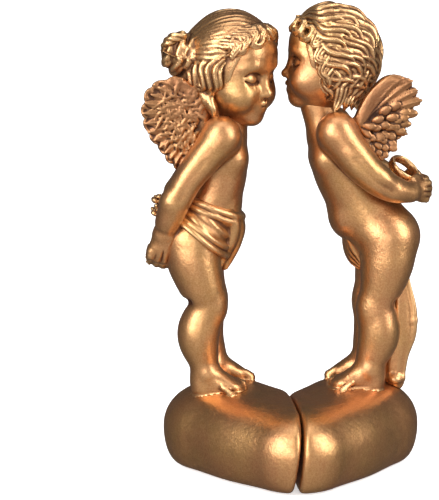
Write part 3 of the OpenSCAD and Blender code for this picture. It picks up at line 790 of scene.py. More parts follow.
def head_clay():
    """A calm child's head with closed eyes, looking along +x, in its own axes."""
    clay = Clay((-23, -21, -27), (24, 21, 23), 0.4)
    clay.egg((-0.6, 0, 0.6), (17.4, 16.2, 18.2), 1.0)
    clay.egg((4.6, 0, -8.5), (12.4, 13.2, 12.6), 5.0)
    clay.egg((2.0, 0, -17.5), (10.5, 8.5, 6.0), 5.0)
    clay.egg((12.6, 0, 6.5), (4.6, 9.5, 6.5), 5.0)
    for s in (-1, 1):
        clay.egg((9.6, s * 7.3, -10.8), (6.6, 5.6, 6.0), 4.0)
        clay.egg((17.6, s * 6.3, -2.6), (3.0, 3.9, 2.7), 3.2, carve=True)
        clay.limb([[15.6, s * 2.8, 1.2, 1.2], [14.9, s * 6.4, 2.2, 1.3], [12.2, s * 9.8, 1.0, 0.9]], k=2.6)
        clay.egg((12.3, s * 6.1, -3.2), (3.2, 3.7, 2.7), 0.7)
        clay.limb([[15.0, s * 2.7, -3.8, 0.34], [15.6, s * 4.6, -4.9, 0.42], [15.2, s * 7.0, -5.0, 0.42],
                   [13.3, s * 9.6, -3.7, 0.34]], k=0.5, carve=True)
        clay.limb([[15.2, s * 3.1, -1.4, 0.26], [15.5, s * 5.6, -0.6, 0.34], [14.3, s * 8.2, -0.9, 0.32],
                   [12.6, s * 10.1, -2.2, 0.26]], k=0.6, carve=True)
        clay.limb([[15.3, s * 3.4, -5.5, 0.3], [15.0, s * 6.0, -6.2, 0.45], [13.2, s * 8.8, -5.6, 0.3]], k=0.9)
    clay.limb([[15.2, 0, 0.8, 1.6], [15.9, 0, -3.2, 1.5], [17.1, 0, -6.2, 1.6], [18.2, 0, -8.2, 1.9]], k=2.2)
    clay.egg((18.0, 0, -8.6), (2.2, 2.1, 1.9), 0.9)
    for s in (-1, 1):
        clay.egg((16.7, s * 2.0, -9.1), (1.9, 1.35, 1.4), 0.8)
        clay.egg((17.9, s * 1.05, -10.5), (0.9, 0.55, 0.7), 0.4, carve=True)
        clay.limb([[15.9, s * 3.5, -9.0, 0.3], [15.2, s * 4.4, -10.8, 0.35], [14.4, s * 5.4, -12.6, 0.2]],
                  k=1.5, carve=True)
    clay.egg((14.2, 0, -13.9), (3.4, 5.0, 3.6), 2.6)
    clay.limb([[13.6, -4.2, -14.1, 0.4], [15.9, -2.3, -13.3, 0.95], [17.0, -0.9, -12.7, 1.0],
               [16.9, 0, -12.9, 0.95], [17.0, 0.9, -12.7, 1.0], [15.9, 2.3, -13.3, 0.95],
               [13.6, 4.2, -14.1, 0.4]], k=0.5)
    clay.limb([[13.7, -3.6, -14.5, 0.5], [15.7, -1.7, -15.3, 1.1], [16.3, 0, -15.5, 1.2],
               [15.7, 1.7, -15.3, 1.1], [13.7, 3.6, -14.5, 0.5]], k=0.7)
    clay.limb([[14.6, -4.4, -14.2, 0.25], [16.9, -2.0, -14.2, 0.28], [17.8, 0, -14.0, 0.3],
               [16.9, 2.0, -14.2, 0.28], [14.6, 4.4, -14.2, 0.25]], k=0.35, carve=True)
    clay.limb([[18.6, 0, -10.9, 0.5], [17.9, 0, -12.0, 0.5]], k=0.8, carve=True)
    clay.egg((12.2, 0, -19.0), (4.2, 4.6, 3.9), 3.2)
    for s in (-1, 1):
        clay.egg((-1.0, s * 15.6, -5.5), (3.0, 1.7, 4.4), 1.0, axes=turned(y=12))
        clay.egg((-0.4, s * 17.4, -5.2), (1.7, 1.2, 2.9), 0.8, carve=True)
    return clay


# ------------------------------------------------------------------ hair

SCALP, SCALP_AT = np.array([18.4, 17.0, 18.8]), np.array([-1.0, 0, 1.0])


def aim(azimuth, rise):
    a, e = np.radians([azimuth, rise])
    return np.array([np.cos(a) * np.cos(e), np.sin(a) * np.cos(e), np.sin(e)])


def on_scalp(ways, lift):
    """Points over the skull in these directions, and the directions that face away from it there."""
    ways = unit(ways)
    reach = 1 / np.sqrt(((ways / (SCALP + np.asarray(lift)[..., None])) ** 2).sum(-1, keepdims=True))
    return SCALP_AT + ways * reach, unit(ways / SCALP**2)


def lock(clay, start, end, wide, thick=1.3, lifts=(0.4, 1.0, 0.6), wave=0.0, cycles=1.0, phase=0.0,
         strands=2.0, depth=0.45, k=0.3, points=8):
    """A flattened lock of hair from one direction on the skull to another, waving from side to side."""
    a, b = (aim(*v) if len(v) == 2 else unit(v) for v in (start, end))
    t = np.linspace(0, 1, points)
    angle = np.arccos(np.clip(a @ b, -1, 1))
    ways = (np.sin((1 - t) * angle)[:, None] * a + np.sin(t * angle)[:, None] * b) / np.sin(angle)
    bend = wave * np.sin(2 * np.pi * cycles * t + phase)
    ways = ways + bend[:, None] * unit(np.cross(a, b))
    lift = np.interp(t, np.linspace(0, 1, len(lifts)), lifts)
    place, up = on_scalp(ways, lift)
    taper = np.interp(t, [0, 0.35, 0.75, 1], [0.55, 1.0, 0.8, 0.18])
    clay.sweep(place, wide * taper, thick * (0.45 + 0.55 * taper), up=up, k=k, strands=strands, depth=depth,
               steps=3)


def swirl(clay, centre, outer, inner, turns, start, wide, lift, flip):
    """A curl wound flat on the skull, from its outside in."""
    c = aim(*centre)
    right = unit(np.cross([0, 0, 1], c))
    up = np.cross(c, right)
    t = np.linspace(0, 1, int(9 * turns) + 4)
    angle = np.radians(start) + flip * 2 * np.pi * turns * t
    reach = (outer + (inner - outer) * t) / SCALP.mean()
    ways = c + reach[:, None] * (np.cos(angle)[:, None] * right + np.sin(angle)[:, None] * up)
    place, away = on_scalp(ways, np.interp(t, [0, 1], lift))
    taper = np.interp(t, [0, 0.25, 0.8, 1], [0.35, 1.0, 0.75, 0.5])
    clay.sweep(place, wide * taper, wide * taper, up=away, k=0.25, strands=2.0, depth=0.35, steps=3)


def rope(clay, path, size, strands=4, depth=0.7, twist=1.3):
    """A twisted rope of hair."""
    clay.sweep(path, size, size, up=(0.2, 0.3, 1), k=0.4, strands=strands, depth=depth, twist=twist)


def cap(clay, lift, brow):
    """The hair's ground form: a shell over the skull that is open over the face."""
    clay.egg(SCALP_AT, SCALP + lift, 1.0)
    clay.egg((19.5, 0, -6.5), (15.5, 18.0, brow), 1.2, carve=True)
    clay.egg((9, 0, -24), (17, 15, 13.5), 1.2, carve=True)


def left_hair():
    axes, origin = HEAD["left"]

    def local(p):
        return (np.array(p, float) - origin) @ axes / LEFT_HEAD_SIZE**2

    clay = Clay((-34, -25, -30), (25, 24, 25), 0.4)
    cap(clay, 0.3, 20.5)
    bun = local([-46.5, 10, 181.5])
    toward = unit(bun - SCALP_AT)
    hairline = {0: 44, 10: 44, 20: 43, 30: 41, 42: 37, 56: 29, 66: 19, 72: 10, 78: -1, 84: -14, 90: -26,
                98: -36, 106: -40, 116: -43, 127: -45, 138: -47, 150: -48, 165: -48, 180: -48}
    for azimuth, rise in hairline.items():
        for s in (-1, 1) if 0 < azimuth < 180 else (1,):
            sway = 0.05 * rng.uniform(-1, 1)
            lock(clay, (s * azimuth, rise), toward, 3.9, 1.4, lifts=(0.3, 1.0, 0.8, 1.6), wave=sway,
                 strands=3.0, depth=0.4, points=10)
    for row, (lift, width) in enumerate(((1.2, 2.6), (1.9, 2.2))):
        for azimuth, rise in ((-64, 20), (-52, 29), (-38, 36), (-23, 40), (-7, 42), (10, 42), (26, 40),
                              (40, 36), (54, 28), (66, 18)):
            azimuth += 7 * row
            s = 1 if azimuth > -12 else -1
            lock(clay, (azimuth + 7 * s, rise + 17 - 5 * row), (azimuth - 8 * s, rise - 4 - row), width, 1.7,
                 lifts=(0.5, lift, lift + 0.9, lift - 0.3), wave=0.12 * s, cycles=1.0, phase=0.6 + row,
                 strands=3.0, depth=0.5, k=0.25, points=10)
    for azimuth, rise, start, flip in ((-46, 28, 40, 1), (-20, 38, 80, 1)):
        swirl(clay, (azimuth, rise), 4.6, 0.6, 1.15, start, 1.9, (0.8, 2.6), flip)
    for s in (-1, 1):
        for azimuth, wide in ((66, 2.4), (76, 2.6), (86, 2.6), (97, 2.6), (108, 2.6), (120, 2.6)):
            lock(clay, (s * azimuth, 22 - 0.2 * azimuth), (s * (azimuth + 10), -14 - 0.26 * azimuth),
                 wide + 0.5, 2.0, lifts=(0.4, 1.6, 2.2, 1.6), wave=0.075 * rng.uniform(0.7, 1.3), cycles=0.9,
                 phase=0.04 * azimuth + rng.uniform(-0.5, 0.5), strands=2.0, depth=0.6, points=12)
        swirl(clay, (s * 92, -30), 4.6, 0.6, 1.2, 60, 1.9, (1.2, 2.8), s)
        swirl(clay, (s * 112, -40), 4.4, 0.6, 1.2, 200, 1.9, (1.2, 2.8), -s)
    clay.egg(bun, 7.4, 1.5)
    side = unit(np.cross(toward, [0, 0, 1]))
    rise = np.cross(side, toward)
    for r, height, size, begin in ((6.4, -2.0, 3.0, 0.3), (6.2, 2.4, 2.8, 2.0), (3.6, 6.0, 2.6, 4.0)):
        angles = begin + np.linspace(0, 2 * np.pi, 12)
        rope(clay, [bun + toward * (height + 0.5 * np.sin(2 * a)) + r * (side * np.cos(a) + rise * np.sin(a))
                    for a in angles], size)
    clay.egg(local([-50.5, 8, 186]), 3.4, 0.8)
    rope(clay, [local(p) for p in ([-47, 4, 190.5], [-51.5, 4.5, 189], [-54, 7, 185.5], [-53, 10, 182],
                                   [-50, 9, 184.5])], [2.0, 2.4, 2.3, 2.0, 1.2])
    clay.egg(local([-41, 10, 171]), (6.5, 7.5, 5.5), 2.0)
    for p, r in (([-42, 2.4, 174.5], 3.0), ([-39.4, 1.0, 169.5], 3.0), ([-36.2, 0.6, 164.0], 2.6)):
        centre = local(p)
        angles = np.linspace(0, 2.6 * np.pi, 14)
        spread = np.interp(angles, [0, angles[-1]], [r, 0.6])
        coil = [centre + [0.6 * w * np.cos(a), -0.05 * a, w * np.sin(a)] for a, w in zip(angles, spread)]
        rope(clay, coil, np.interp(angles, [0, 2, angles[-1]], [0.8, 1.5, 1.0]), strands=3, depth=0.35,
             twist=0.9)
    rope(clay, [local(p) for p in ([-38.5, 3.5, 168], [-36.4, 1.6, 163.5], [-34.6, 0.4, 160],
                                   [-33.6, 1.0, 157], [-32.2, 1.4, 154.6])], [3.0, 3.0, 2.4, 1.9, 0.7],
         strands=3, depth=0.5, twist=0.7)
    return clay


def right_hair():
    clay = Clay((-27, -26, -27), (27, 26, 27), 0.4)
    cap(clay, 0.1, 19.0)
    pole = aim(0, 27)
    crown, side = np.array([-pole[2], 0, pole[0]]), np.array([0.0, 1.0, 0.0])

    def flow(t, phi):
        """The way at a share of the run from forehead to nape, on the line that starts at angle phi."""
        phi = np.radians(phi)
        return np.cos(np.pi * t) * pole + np.sin(np.pi * t) * (np.cos(phi) * crown + np.sin(phi) * side)

    for row in range(5):
        for phi in np.arange(-117, 118, 14.0):
            phi += (7.0 if row % 2 else 0) + rng.uniform(-2, 2)
            start = np.interp(abs(phi), [0, 30, 53, 74, 98, 120], [0.06, 0.08, 0.14, 0.26, 0.34, 0.42])
            start += 0.16 * row + rng.uniform(-0.03, 0.03)
            if start > 0.93:
                continue
            end = min(start + 0.38 + rng.uniform(-0.04, 0.04), 1.06)
            width = 3.4 * (0.74 + 0.26 * np.sin(np.pi * min(start + 0.1, 1))) * rng.uniform(0.8, 1.15)
            lock(clay, flow(start, phi), flow(end, phi + 9 * np.sign(phi)), width, 2.1,
                 lifts=(0.3, 1.6, 2.6, 1.9), wave=0.085 * rng.uniform(0.8, 1.3), cycles=1.3,
                 phase=6.0 * start + rng.uniform(-0.4, 0.4), strands=2.0, depth=0.75, k=0.15, points=12)
    for row, (rise, drop, lift) in enumerate(((-6, 40, 1.8), (-30, 34, 2.4))):
        for azimuth in np.arange(74 + 7 * row, 290 - 7 * row, 14.0):
            turn_in = 10 if azimuth < 180 else -10
            lock(clay, (azimuth + rng.uniform(-3, 3), rise), (azimuth + turn_in, rise - drop), 3.2, 2.0,
                 lifts=(0.4, lift, lift + 0.8, lift), wave=0.09 * rng.uniform(0.8, 1.2), cycles=1.1,
                 phase=0.05 * azimuth, strands=2.0, depth=0.75, k=0.15, points=10)
    clay.egg((-8.5, 0, -13.0), (9.0, 11.5, 7.0), 2.0)
    for side in np.linspace(-1, 1, 9):
        back = np.cos(1.35 * side)
        start = np.array([-15.5 * back - 1, 15.0 * side, -8.0])
        sway = 1.6 * rng.uniform(-1, 1)
        clay.sweep([start, start + [-0.8 * back, sway, -4.5], start + [2.2 * back, -sway, -9.5],
                    start + [1.2 * back + 1.5, sway * 0.5, -14.0]], [2.6, 3.1, 2.6, 0.7], [1.6, 2.0, 1.7, 0.5],
                   up=(-back, np.sin(1.35 * side), 0.2), k=0.3, strands=3.0, depth=0.55, steps=5)
    for s in (-1, 1):
        for azimuth, rise, fall in ((56, 26, 10), (64, 18, 30), (72, 8, 44), (80, -2, 44)):
            lock(clay, (s * azimuth, rise), (s * (azimuth + 16), rise - fall), 2.5, 1.8,
                 lifts=(0.8, 2.0, 2.4, 1.6), wave=0.12 * s, cycles=1.2, phase=0.5, strands=3.0, depth=0.5,
                 points=10)
    for azimuth, rise, r, start, flip in ((4, 38, 4.6, 90, 1), (-16, 38, 4.4, 60, -1), (26, 36, 4.4, 130, 1),
                                          (-36, 33, 4.2, 60, -1), (46, 30, 4.0, 130, 1)):
        swirl(clay, (azimuth, rise), r, 1.5, 0.95, start, 1.9, (0.8, 3.6), flip)
    return clay


# ------------------------------------------------------------------ wings

WINGS = {  # root, and the rim as [angle, reach]
    "left": (np.array([-37.0, 5, 151]),
             [[80, 5], [98, 9], [110, 18], [121, 25.4], [133, 28.6], [143, 31], [156, 30.2], [169, 28.8],
              [184, 26], [205, 22.6], [222, 22.6], [234, 22.6], [245, 18], [258, 9], [275, 5]]),
    "right": (np.array([29.0, 5, 150]),
              [[-95, 5], [-80, 8], [-68, 14.5], [-56, 16.2], [-40, 17.2], [-23, 18], [-8, 19.4], [7, 21.6],
               [21, 25.6], [36, 30.6], [48, 29.4], [58, 27], [68, 20], [82, 9], [100, 5]]),
}
FAR_WING_SHIFT = np.array([1.6, 0, -2.4])
SCALLOP = 14.0  # degrees from one feather tip to the next
BARB_PITCH = 1.25
STRANDS = 250  # fine strands over the left figure's wing


def bow(reach):
    """How far a wing stands off towards the near side."""
    return -2.6 * (reach / 26.0) ** 1.5


def feather(clay, root, angle, first, last, wide, off, bend, thick, blunt=0.3):
    """One feather on the wing's near face, off from its middle, between two distances from the root."""
    t = np.linspace(0, 1, 7)
    turn = np.radians(angle + bend * t**2)
    reach = first + (last - first) * t
    place = np.column_stack([root[0] + reach * np.cos(turn), root[1] + bow(reach) - off - 0.5 * np.sin(2.5 * t),
                             root[2] + reach * np.sin(turn)])
    shape = np.interp(t, [0, 0.3, 0.7, 0.88, 1.0], [0.5, 0.85, 1.0, 0.9, blunt])
    clay.sweep(place, wide * shape, thick * (0.6 + 0.4 * shape), up=(0, -1, 0), k=0.15, shaft=0.25,
               barbs=BARB_PITCH, depth=0.22, steps=3)


def wing_clay(prefix, node):
    root, rim = WINGS[prefix]
    clay = clay_for(node, 5, 0.36)
    angles, reaches = np.array(rim, float).T

    def rim_at(angle):
        lobe = np.abs(np.cos(np.pi * (angle - angles[0]) / SCALLOP))
        return np.interp(angle, angles, reaches) * (0.945 + 0.055 * lobe**0.7)

    _, x, y, z = clay.everywhere()
    dx, dz = x - root[0], z - root[2]
    reach = np.hypot(dx, dz)
    angle = np.degrees(np.arctan2(dz, dx))
    if prefix == "left":
        angle = np.where(angle < 0, angle + 360, angle)
    edge = rim_at(angle)
    share = np.clip(reach / edge, 0, 1)
    ribs = 0.5 + 0.5 * np.cos(2 * np.pi * angle / SCALLOP * 2 + 0.8 * np.sin(0.7 * reach))
    body = np.interp(share, [0, 0.3, 0.75, 0.93, 1], [2.5, 1.9, 1.1, 0.85, 1.0]) + 0.3 * ribs * (0.3 + share)
    clay.d[:] = smooth_max(np.abs(y - root[1] - bow(reach)) - body, (reach - edge) * 0.9, 0.9)

    if prefix == "left":
        for angle in np.arange(116, 240, 9.0):
            far = rim_at(angle)
            feather(clay, root, angle, far * 0.35, far * 0.93, 2.2, 0.8, bend=5, thick=0.8)
        for _ in range(STRANDS):
            angle = rng.uniform(112, 244)
            far = rim_at(angle)
            start = far * rng.uniform(0.12, 0.66)
            size = rng.uniform(4.0, 7.0)
            t = np.linspace(0, 1, 6)
            turn = np.radians(angle + rng.uniform(-30, 30) * t)
            out = start + size * t * rng.uniform(0.5, 1.0)
            sway = rng.uniform(0.5, 1.0) * np.sin(2 * np.pi * t * rng.uniform(0.6, 1.1) + rng.uniform(0, 6))
            lift = 1.5 + rng.uniform(0, 0.9) * (1 - start / far)
            place = np.column_stack([root[0] + out * np.cos(turn) - sway * np.sin(turn),
                                     root[1] + bow(out) - lift - 0.3 * np.sin(np.pi * t),
                                     root[2] + out * np.sin(turn) + sway * np.cos(turn)])
            taper = np.array([0.5, 0.85, 1.0, 0.9, 0.65, 0.2]) * rng.uniform(0.55, 0.85)
            clay.sweep(place, taper, up=(0, -1, 0), k=0.12, steps=2)
    else:
        for angle, first, wide in ((-2, 0.6, 2.2), (9, 0.55, 2.3), (19, 0.5, 2.4), (29, 0.4, 2.5),
                                   (38, 0.3, 2.5), (47, 0.3, 2.4), (55, 0.35, 2.0)):
            far = rim_at(angle)
            feather(clay, root, angle, far * first, far * 0.98, wide, 0.9, bend=-4, thick=0.9, blunt=0.8)
        for row, level in enumerate((0.9, 0.76, 0.62, 0.48, 0.34, 0.2)):
            step = np.degrees(3.5 / (20 * level))
            for angle in np.arange(-66 + step * 0.5 * (row % 2), 36 - 16 * (level > 0.7), step):
                out = rim_at(angle) * level
                turn = np.radians(angle + rng.uniform(-9, 9))
                way = np.array([np.cos(turn), 0, np.sin(turn)])
                spot = root + way * out + [0, bow(out) - 1.5 - 0.28 * row, 0]
                axes = np.column_stack([unit(way + [0, -0.28, 0]), unit(np.array([0.0, 1, 0]) + 0.28 * way),
                                        np.cross(way, [0, 1, 0])])
                clay.egg(spot, (3.1, 1.0, rng.uniform(1.7, 2.05)), 0.1, axes=axes)
                clay.egg(spot + way * 1.3, (1.5, 0.95, 1.55), 0.1, axes=axes)
                clay.limb([[*(spot - way * 1.6 + [0, -1.1, 0]), 0.1], [*(spot + way * 2.0 + [0, -1.5, 0]), 0.3]],
                          k=0.3, carve=True)
    lead = (np.array([96, 104, 113, 121, 130]) if prefix == "left" else np.array([84, 72, 65, 58, 46]))
    out = np.array([0.3, 0.65, 0.85, 0.93, 0.96]) * rim_at(lead)
    path = np.column_stack([root[0] + out * np.cos(np.radians(lead)), root[1] - 1.0 + bow(out),
                            root[2] + out * np.sin(np.radians(lead))])
    clay.sweep(path, [2.4, 2.6, 2.3, 1.8, 1.0], [2.0, 1.6, 1.3, 1.1, 0.8], up=(0, -1, 0), k=1.8)
    return clay


# ------------------------------------------------------------------ cloths and what is held


def left_cloth():
    """A cloth round the hips under a rolled waist band, gathered at the front."""
    low, high = box_mm("left_loincloth")
    clay = Clay(low - 5, high + 6, 0.42)
    pour_body(clay, LEFT)
    core = clay.d.copy()
    _, x, y, z = clay.everywhere()
    warp = 1.3 * np.sin(0.17 * x + 0.12 * y) + 0.6 * np.sin(0.33 * x - 0.2 * y)
    gather = 0.45 + 0.55 * np.sin(0.21 * x + 0.16 * z + 0.1 * y) ** 2
    folds = np.sin(2 * np.pi * ((z - 108) * 0.82 + (x + 41) * 0.62) / 4.6 + warp)
    cover = core - 1.4 - 0.42 * gather * folds
    waist = (x + 41) * 0.39 + (z - 120.5) * 0.92
    hem = -((x + 43.5) * 0.62 + (z - 106.0) * 0.785)
    clay.d = smooth_max(cover, smooth_max(waist, hem, 0.8), 0.8).astype(np.float32)
    clay.crop(-core - 1.2)

    def ring(height, normal_x, lift, start, end, count=22):
        """Points round the body at a height, on a plane that slopes by normal_x."""
        inside = [-38.5, MID_Y, height - 2.5 * normal_x]
        ways = [np.array([np.cos(a), np.sin(a), -normal_x * np.cos(a)]) for a in np.linspace(start, end, count)]
        return np.array([clay.skin_point(inside, way, lift, core) for way in ways])

    for height, lift, size in ((118.8, 1.0, 1.35), (115.9, 1.2, 1.2)):
        clay.sweep(ring(height, 0.42, lift, -np.pi, np.pi), size, up=(0, 0, 1), k=0.7)
    for height, slope, lift, start, size in ((104.2, 0.8, 1.1, -2.4, 1.3), (107.6, 0.75, 1.3, -2.1, 1.1)):
        clay.sweep(ring(height, slope, lift, start, 0.4, 18), np.linspace(size * 0.8, size * 1.3, 18),
                   up=(0, 0, 1), k=1.1)
    for i, (top, bottom, size) in enumerate((([-28, 3.5, 114], [-31.5, 6.0, 90], 2.6),
                                             ([-26, 6.5, 113], [-29.0, 9.5, 88.5], 2.7),
                                             ([-25.2, 10.5, 112], [-29.5, 13.0, 87.5], 2.6),
                                             ([-26, 15.0, 112], [-31.5, 16.0, 89.5], 2.4))):
        top, bottom = np.array(top), np.array(bottom)
        path = [top, top + [2.4, 0.3, -5.5], (top + bottom) / 2 + [3.2, 0.0, -0.5],
                bottom + [1.6, 0, 4.5], bottom]
        clay.sweep(path, [size, size * 1.1, size, size * 0.9, size * 0.5], up=(1, 0, 0.2), k=1.1)
    return clay


def right_cloth():
    """A knotted band low on the right figure's hips, with an end that hangs in front."""
    clay = clay_for("right_loincloth", 5, 0.42)
    for dy, dz, size in ((-1.6, 1.6, 2.6), (0.8, -0.8, 2.7), (2.6, -3.6, 2.3)):
        clay.sweep([[27.0, 6 + dy * 0.4, 104.5 + dz * 0.4], [26.0, 11 + dy, 100.6 + dz],
                    [28.0, 13 + dy, 94 + dz], [31, 12.6 + dy, 88.5 + dz * 0.6]],
                   [size * 0.7, size * 1.25, size * 1.1, size * 0.6], up=(-1, 0, 0.3), k=0.8, strands=2,
                   depth=0.6)
    for dz, size in ((2.2, 2.2), (-0.8, 2.4), (-3.6, 2.0)):
        clay.sweep([[26, 12, 102 + dz * 0.5], [28.5, 24, 101 + dz], [36, 30.6, 101 + dz],
                    [48, 30.2, 99 + dz], [52.6, 24, 96 + dz * 0.8], [51.4, 16, 90 + dz * 0.4]],
                   size, up=(0, 0, 1), k=0.8, strands=3, depth=0.4, twist=0.35)
    return clay


def right_drape():
    """The cloth that falls to the heart behind the right figure's legs."""
    clay = clay_for("right_drape", 5, 0.45)
    path = np.array([[50.0, 15, 88], [50.0, 14.5, 77], [50.3, 13.6, 67], [49.8, 12.8, 56], [47.2, 12.4, 46],
                     [46.4, 12.4, 33]])
    broad = np.array([1.8, 3.8, 5.4, 5.6, 5.0, 4.0])
    clay.sweep(path, broad, broad * 0.7, up=(0, 1, 0), k=0.9, strands=1.5, depth=0.3, steps=6)
    for side, size in ((0.92, 1.1), (-0.5, 0.9), (0.3, 0.8)):
        rim = path + broad[:, None] * [side, 0, 0] + [[0, -2.2 + 0.6 * np.sin(0.1 * p[2] + 4 * side), 0]
                                                      for p in path]
        clay.sweep(rim, size * np.array([0.5, 0.9, 1.2, 1.25, 1.0, 0.8]), k=1.6, steps=6)
    clay.sweep([[43.6, 9.6, 37.0], [46.8, 8.6, 36.0], [50.4, 10.4, 36.2]], [1.0, 1.8, 0.9], k=1.6)
    stand_on_heart(clay, 1, 1.4)
    clay.d = clay.blurred(0.9, FAR)
    near = clay_for("right_drape", 5, 0.45)
    near.sweep([[51, 14, 90], [50, 13, 62], [47, 12, 36]], 8.5)
    clay.crop(near.d)
    return clay


STEM_FOOT = np.array([-57.4, 9.2, 92.0])


def bouquet():
    """Three plain flowers on stems, with two leaves."""
    clay = clay_for("left_bouquet", 4, 0.33)
    for lean, length in ((-11, 22), (0, 26.4), (11, 22)):
        way = turned(x=lean) @ np.array([0, 0, 1.0])
        head = STEM_FOOT + way * length
        stem = [[*(STEM_FOOT + way * length * t), 1.0 + 0.12 * np.sin(9 * t)] for t in np.linspace(0, 1, 6)]
        clay.limb(stem, k=0.5)
        clay.egg(head - way * 0.4, 1.9, 0.5)
        for ring, (count, reach, size, rise) in enumerate(((5, 2.7, 1.75, 0.2), (5, 1.5, 1.3, 1.7))):
            for i in range(count):
                a = 2 * np.pi * (i + 0.5 * ring) / count + lean
                spot = head + turned(x=lean) @ np.array([reach * np.cos(a), reach * np.sin(a), rise])
                clay.egg(spot, (size, size, size * 0.62), 0.25,
                         axes=turned(x=lean) @ turned(z=np.degrees(a)) @ turned(y=-35))
        clay.egg(head + way * 2.2, 0.9, 0.2)
    for side in (-1, 1):
        leaf = STEM_FOOT + [0.4, side * 1.6, 15]
        clay.sweep([leaf, leaf + [-1.2, side * 2.0, 2.4], leaf + [-1.6, side * 3.4, 5.6]], [0.6, 1.6, 0.3],
                   [0.5, 0.6, 0.3], up=(-1, 0, 0), k=0.3, shaft=0.2)
    return clay


RING_AT, RING_TURN, RING_R, RING_PARTS = np.array([49.6, 9.5, 131.0]), (24, 34, 0), 6.5, 24


def ring():
    """A flat band bent into a ring."""
    clay = clay_for("right_ring", 3, 0.3)
    axes = turned(*RING_TURN)
    for a in np.linspace(0, 2 * np.pi, RING_PARTS + 1)[:-1]:
        b = a + 2 * np.pi / RING_PARTS
        path = [RING_AT + axes @ (RING_R * np.array([np.cos(c), np.sin(c), 0])) for c in np.linspace(a, b, 4)]
        clay.sweep(path, 0.95, 2.0, up=axes[:, 2], k=0.05, steps=2)
    return clay


# ------------------------------------------------------------------ build

DRAWN = {  # the middles that the nodes' boxes had when the shapes above were drawn
    "left_base": (-28.3, -4.7, 18), "right_base": (26.43, -4.74, 18),
    "left_felt_pad": (-26.68, -4.23, 0.5), "right_felt_pad": (22.7, -4.75, 0.5),
    "left_body": (-36.53, 12.36, 99.97), "right_body": (30.05, 12.56, 100.14),
    "left_near_arm": (-43.82, -0.84, 124.08), "left_far_arm": (-41.74, 21.51, 122.23),
    "right_near_arm": (36.84, -0.1, 135.11), "right_far_arm": (37.48, 23.8, 135.51),
    "left_head": (-24.94, 13.02, 174.53), "right_head": (15.82, 13, 178.77),
    "left_hair": (-29.18, 13.93, 175.94), "right_hair": (19.52, 13.04, 181.46),
    "left_near_wing": (-49.06, 4.32, 154.15), "left_far_wing": (-47.41, 21.68, 151.75),
    "right_near_wing": (39.53, 4.32, 152.65), "right_far_wing": (41.13, 21.68, 150.25),
    "left_loincloth": (-39.63, 13, 102.45), "right_loincloth": (38.87, 18.74, 95.83),
    "right_drape": (51.56, 13.45, 58.35), "left_bouquet": (-57.12, 9.35, 106.34),
    "right_ring": (49.6, 9.5, 131),
}


for prefix, fig in (("left", LEFT), ("right", RIGHT)):
    piece(prefix + "_base", base_half(fig["side"], prefix + "_base"), SATIN, plain=True)
    piece(prefix + "_felt_pad", felt_pad(fig["side"], prefix + "_felt_pad"), FELT, passes=0)
    piece(prefix + "_body", body_of_figure(fig, prefix), SATIN)
    for name in ("near_arm", "far_arm"):
        piece(f"{prefix}_{name}", arm_of_figure(fig, prefix, name), SATIN)
    piece(prefix + "_head", head_clay(), SATIN, place=HEAD[prefix])
    near = f"{prefix}_near_wing"
    wing = wing_clay(prefix, near)
    piece(near, wing, DEEP, passes=0)
    piece(f"{prefix}_far_wing", wing, DEEP, passes=0, mirror_y=MID_Y)
piece("left_hair", left_hair(), GLOSS, place=HEAD["left"], passes=0)
piece("right_hair", right_hair(), GLOSS, place=HEAD["right"], passes=0)
piece("left_loincloth", left_cloth(), SATIN)
piece("right_loincloth", right_cloth(), SATIN)
piece("right_drape", right_drape(), SATIN)
piece("left_bouquet", bouquet(), GLOSS, passes=0)
piece("right_ring", ring(), GLOSS)

HIDDEN_FITTINGS = {"dowels": STEEL, "wing_pegs": RESIN}
for name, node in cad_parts.items():
    paint = next((m for part, m in HIDDEN_FITTINGS.items() if name.endswith(part)), GLOSS)
    node.data.materials.clear()
    node.data.materials.append(paint)


# ------------------------------------------------------------------ floor, light and camera

CAM_AZIMUTH, CAM_RISE, CAM_REACH = -4.8, 10.5, 0.85
CAM_TARGET = Vector((0.0, 0.0, 0.1))
CAM_LENS, CAM_SENSOR = 140.7, 36.0
CAM_SHIFT = (-0.147, -0.012)  # in shares of the picture's longer side
LIGHTS = {  # place, target, size and power
    "left_box": ((-0.75, -0.75, 0.62), (0, 0, 0.09), (0.62, 1.15), 11.5),
    "right_box": ((0.86, -0.55, 0.60), (0, 0, 0.09), (0.5, 1.1), 9.0),
    "top_box": ((0.05, -0.1, 1.15), (0, 0, 0.1), (0.9, 0.6), 3.0),
    "front_box": ((-0.35, -1.25, 0.22), (0, 0, 0.05), (0.8, 0.45), 2.6),
}
STUDIO = [  # the surroundings' colour from front to back
    (0.0, (0.70, 0.66, 0.64)), (0.28, (0.50, 0.46, 0.44)), (0.52, (0.19, 0.17, 0.165)),
    (1.0, (0.07, 0.062, 0.06)),
]


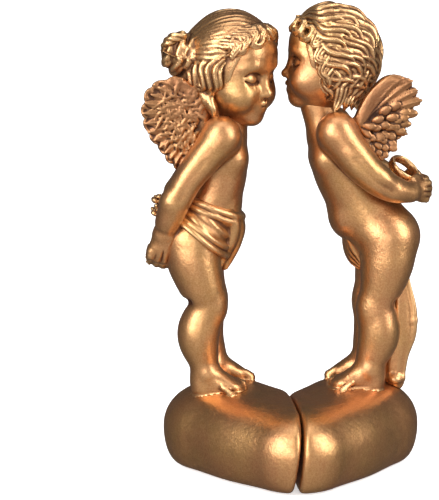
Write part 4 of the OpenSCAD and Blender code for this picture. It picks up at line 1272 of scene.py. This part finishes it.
def add_floor():
    """A pale floor that curves up into a wall all round. Both glow faintly, so they stay near white."""
    reach, rise, bend, around = 2.6, 2.2, 0.6, 64
    profile = [(0.5, 0.0), (reach - bend, 0.0)]
    profile += [(reach - bend + bend * np.sin(a), bend - bend * np.cos(a))
                for a in np.linspace(0.1, 1.57, 12)]
    profile += [(reach, rise)]
    angles = np.arange(around) * 2 * np.pi / around
    verts = [(0.0, 0.0, 0.0)] + [(r * np.cos(a), r * np.sin(a), z) for r, z in profile for a in angles]

    def corner(k, i):
        return 1 + k * around + i % around

    faces = [(0, corner(0, i), corner(0, i + 1)) for i in range(around)]
    faces += [(corner(k, i), corner(k + 1, i), corner(k + 1, i + 1), corner(k, i + 1))
              for k in range(len(profile) - 1) for i in range(around)]
    mesh = bpy.data.meshes.new("floor")
    mesh.from_pydata(verts, [], faces)
    mesh.shade_smooth()
    floor = bpy.data.objects.new("floor", mesh)
    floor.visible_glossy = False
    bpy.context.collection.objects.link(floor)
    m = bpy.data.materials.new("pale_floor")
    m.use_nodes = True
    shader = m.node_tree.nodes["Principled BSDF"]
    shader.inputs["Base Color"].default_value = (0.88, 0.88, 0.88, 1)
    shader.inputs["Roughness"].default_value = 0.9
    shader.inputs["Emission Color"].default_value = (1, 1, 1, 1)
    shader.inputs["Emission Strength"].default_value = 0.55
    mesh.materials.append(m)


def add_light(name, place, target, size, power):
    data = bpy.data.lights.new(name, "AREA")
    data.shape = "RECTANGLE"
    data.size, data.size_y = size
    data.energy = power
    light = bpy.data.objects.new(name, data)
    light.location = place
    light.rotation_euler = (Vector(target) - Vector(place)).to_track_quat("-Z", "Y").to_euler()
    bpy.context.collection.objects.link(light)


def add_camera():
    az, el = np.radians([CAM_AZIMUTH, CAM_RISE])
    away = Vector((np.sin(az) * np.cos(el), -np.cos(az) * np.cos(el), np.sin(el)))
    data = bpy.data.cameras.new("camera")
    camera = bpy.data.objects.new("camera", data)
    camera.location = CAM_TARGET + away * CAM_REACH
    camera.rotation_euler = (-away).to_track_quat("-Z", "Y").to_euler()
    data.lens, data.sensor_width = CAM_LENS, CAM_SENSOR
    data.shift_x, data.shift_y = CAM_SHIFT
    data.clip_start, data.clip_end = 0.01, 20.0
    bpy.context.collection.objects.link(camera)
    bpy.context.scene.camera = camera


add_floor()
for name, light in LIGHTS.items():
    add_light(name, *light)
world = bpy.data.worlds.new("studio")
world.use_nodes = True
tree = world.node_tree
way = node_of(tree, "ShaderNodeSeparateXYZ", i0=tree.nodes.new("ShaderNodeTexCoord").outputs["Generated"])
shade = ramp_of(tree, map_of(tree, way.outputs[1], -1.0, 1.0, 0.0, 1.0), STUDIO)
tree.links.new(shade, tree.nodes["Background"].inputs[0])
bpy.context.scene.world = world
bpy.context.scene.view_settings.view_transform = "Standard"
add_camera()
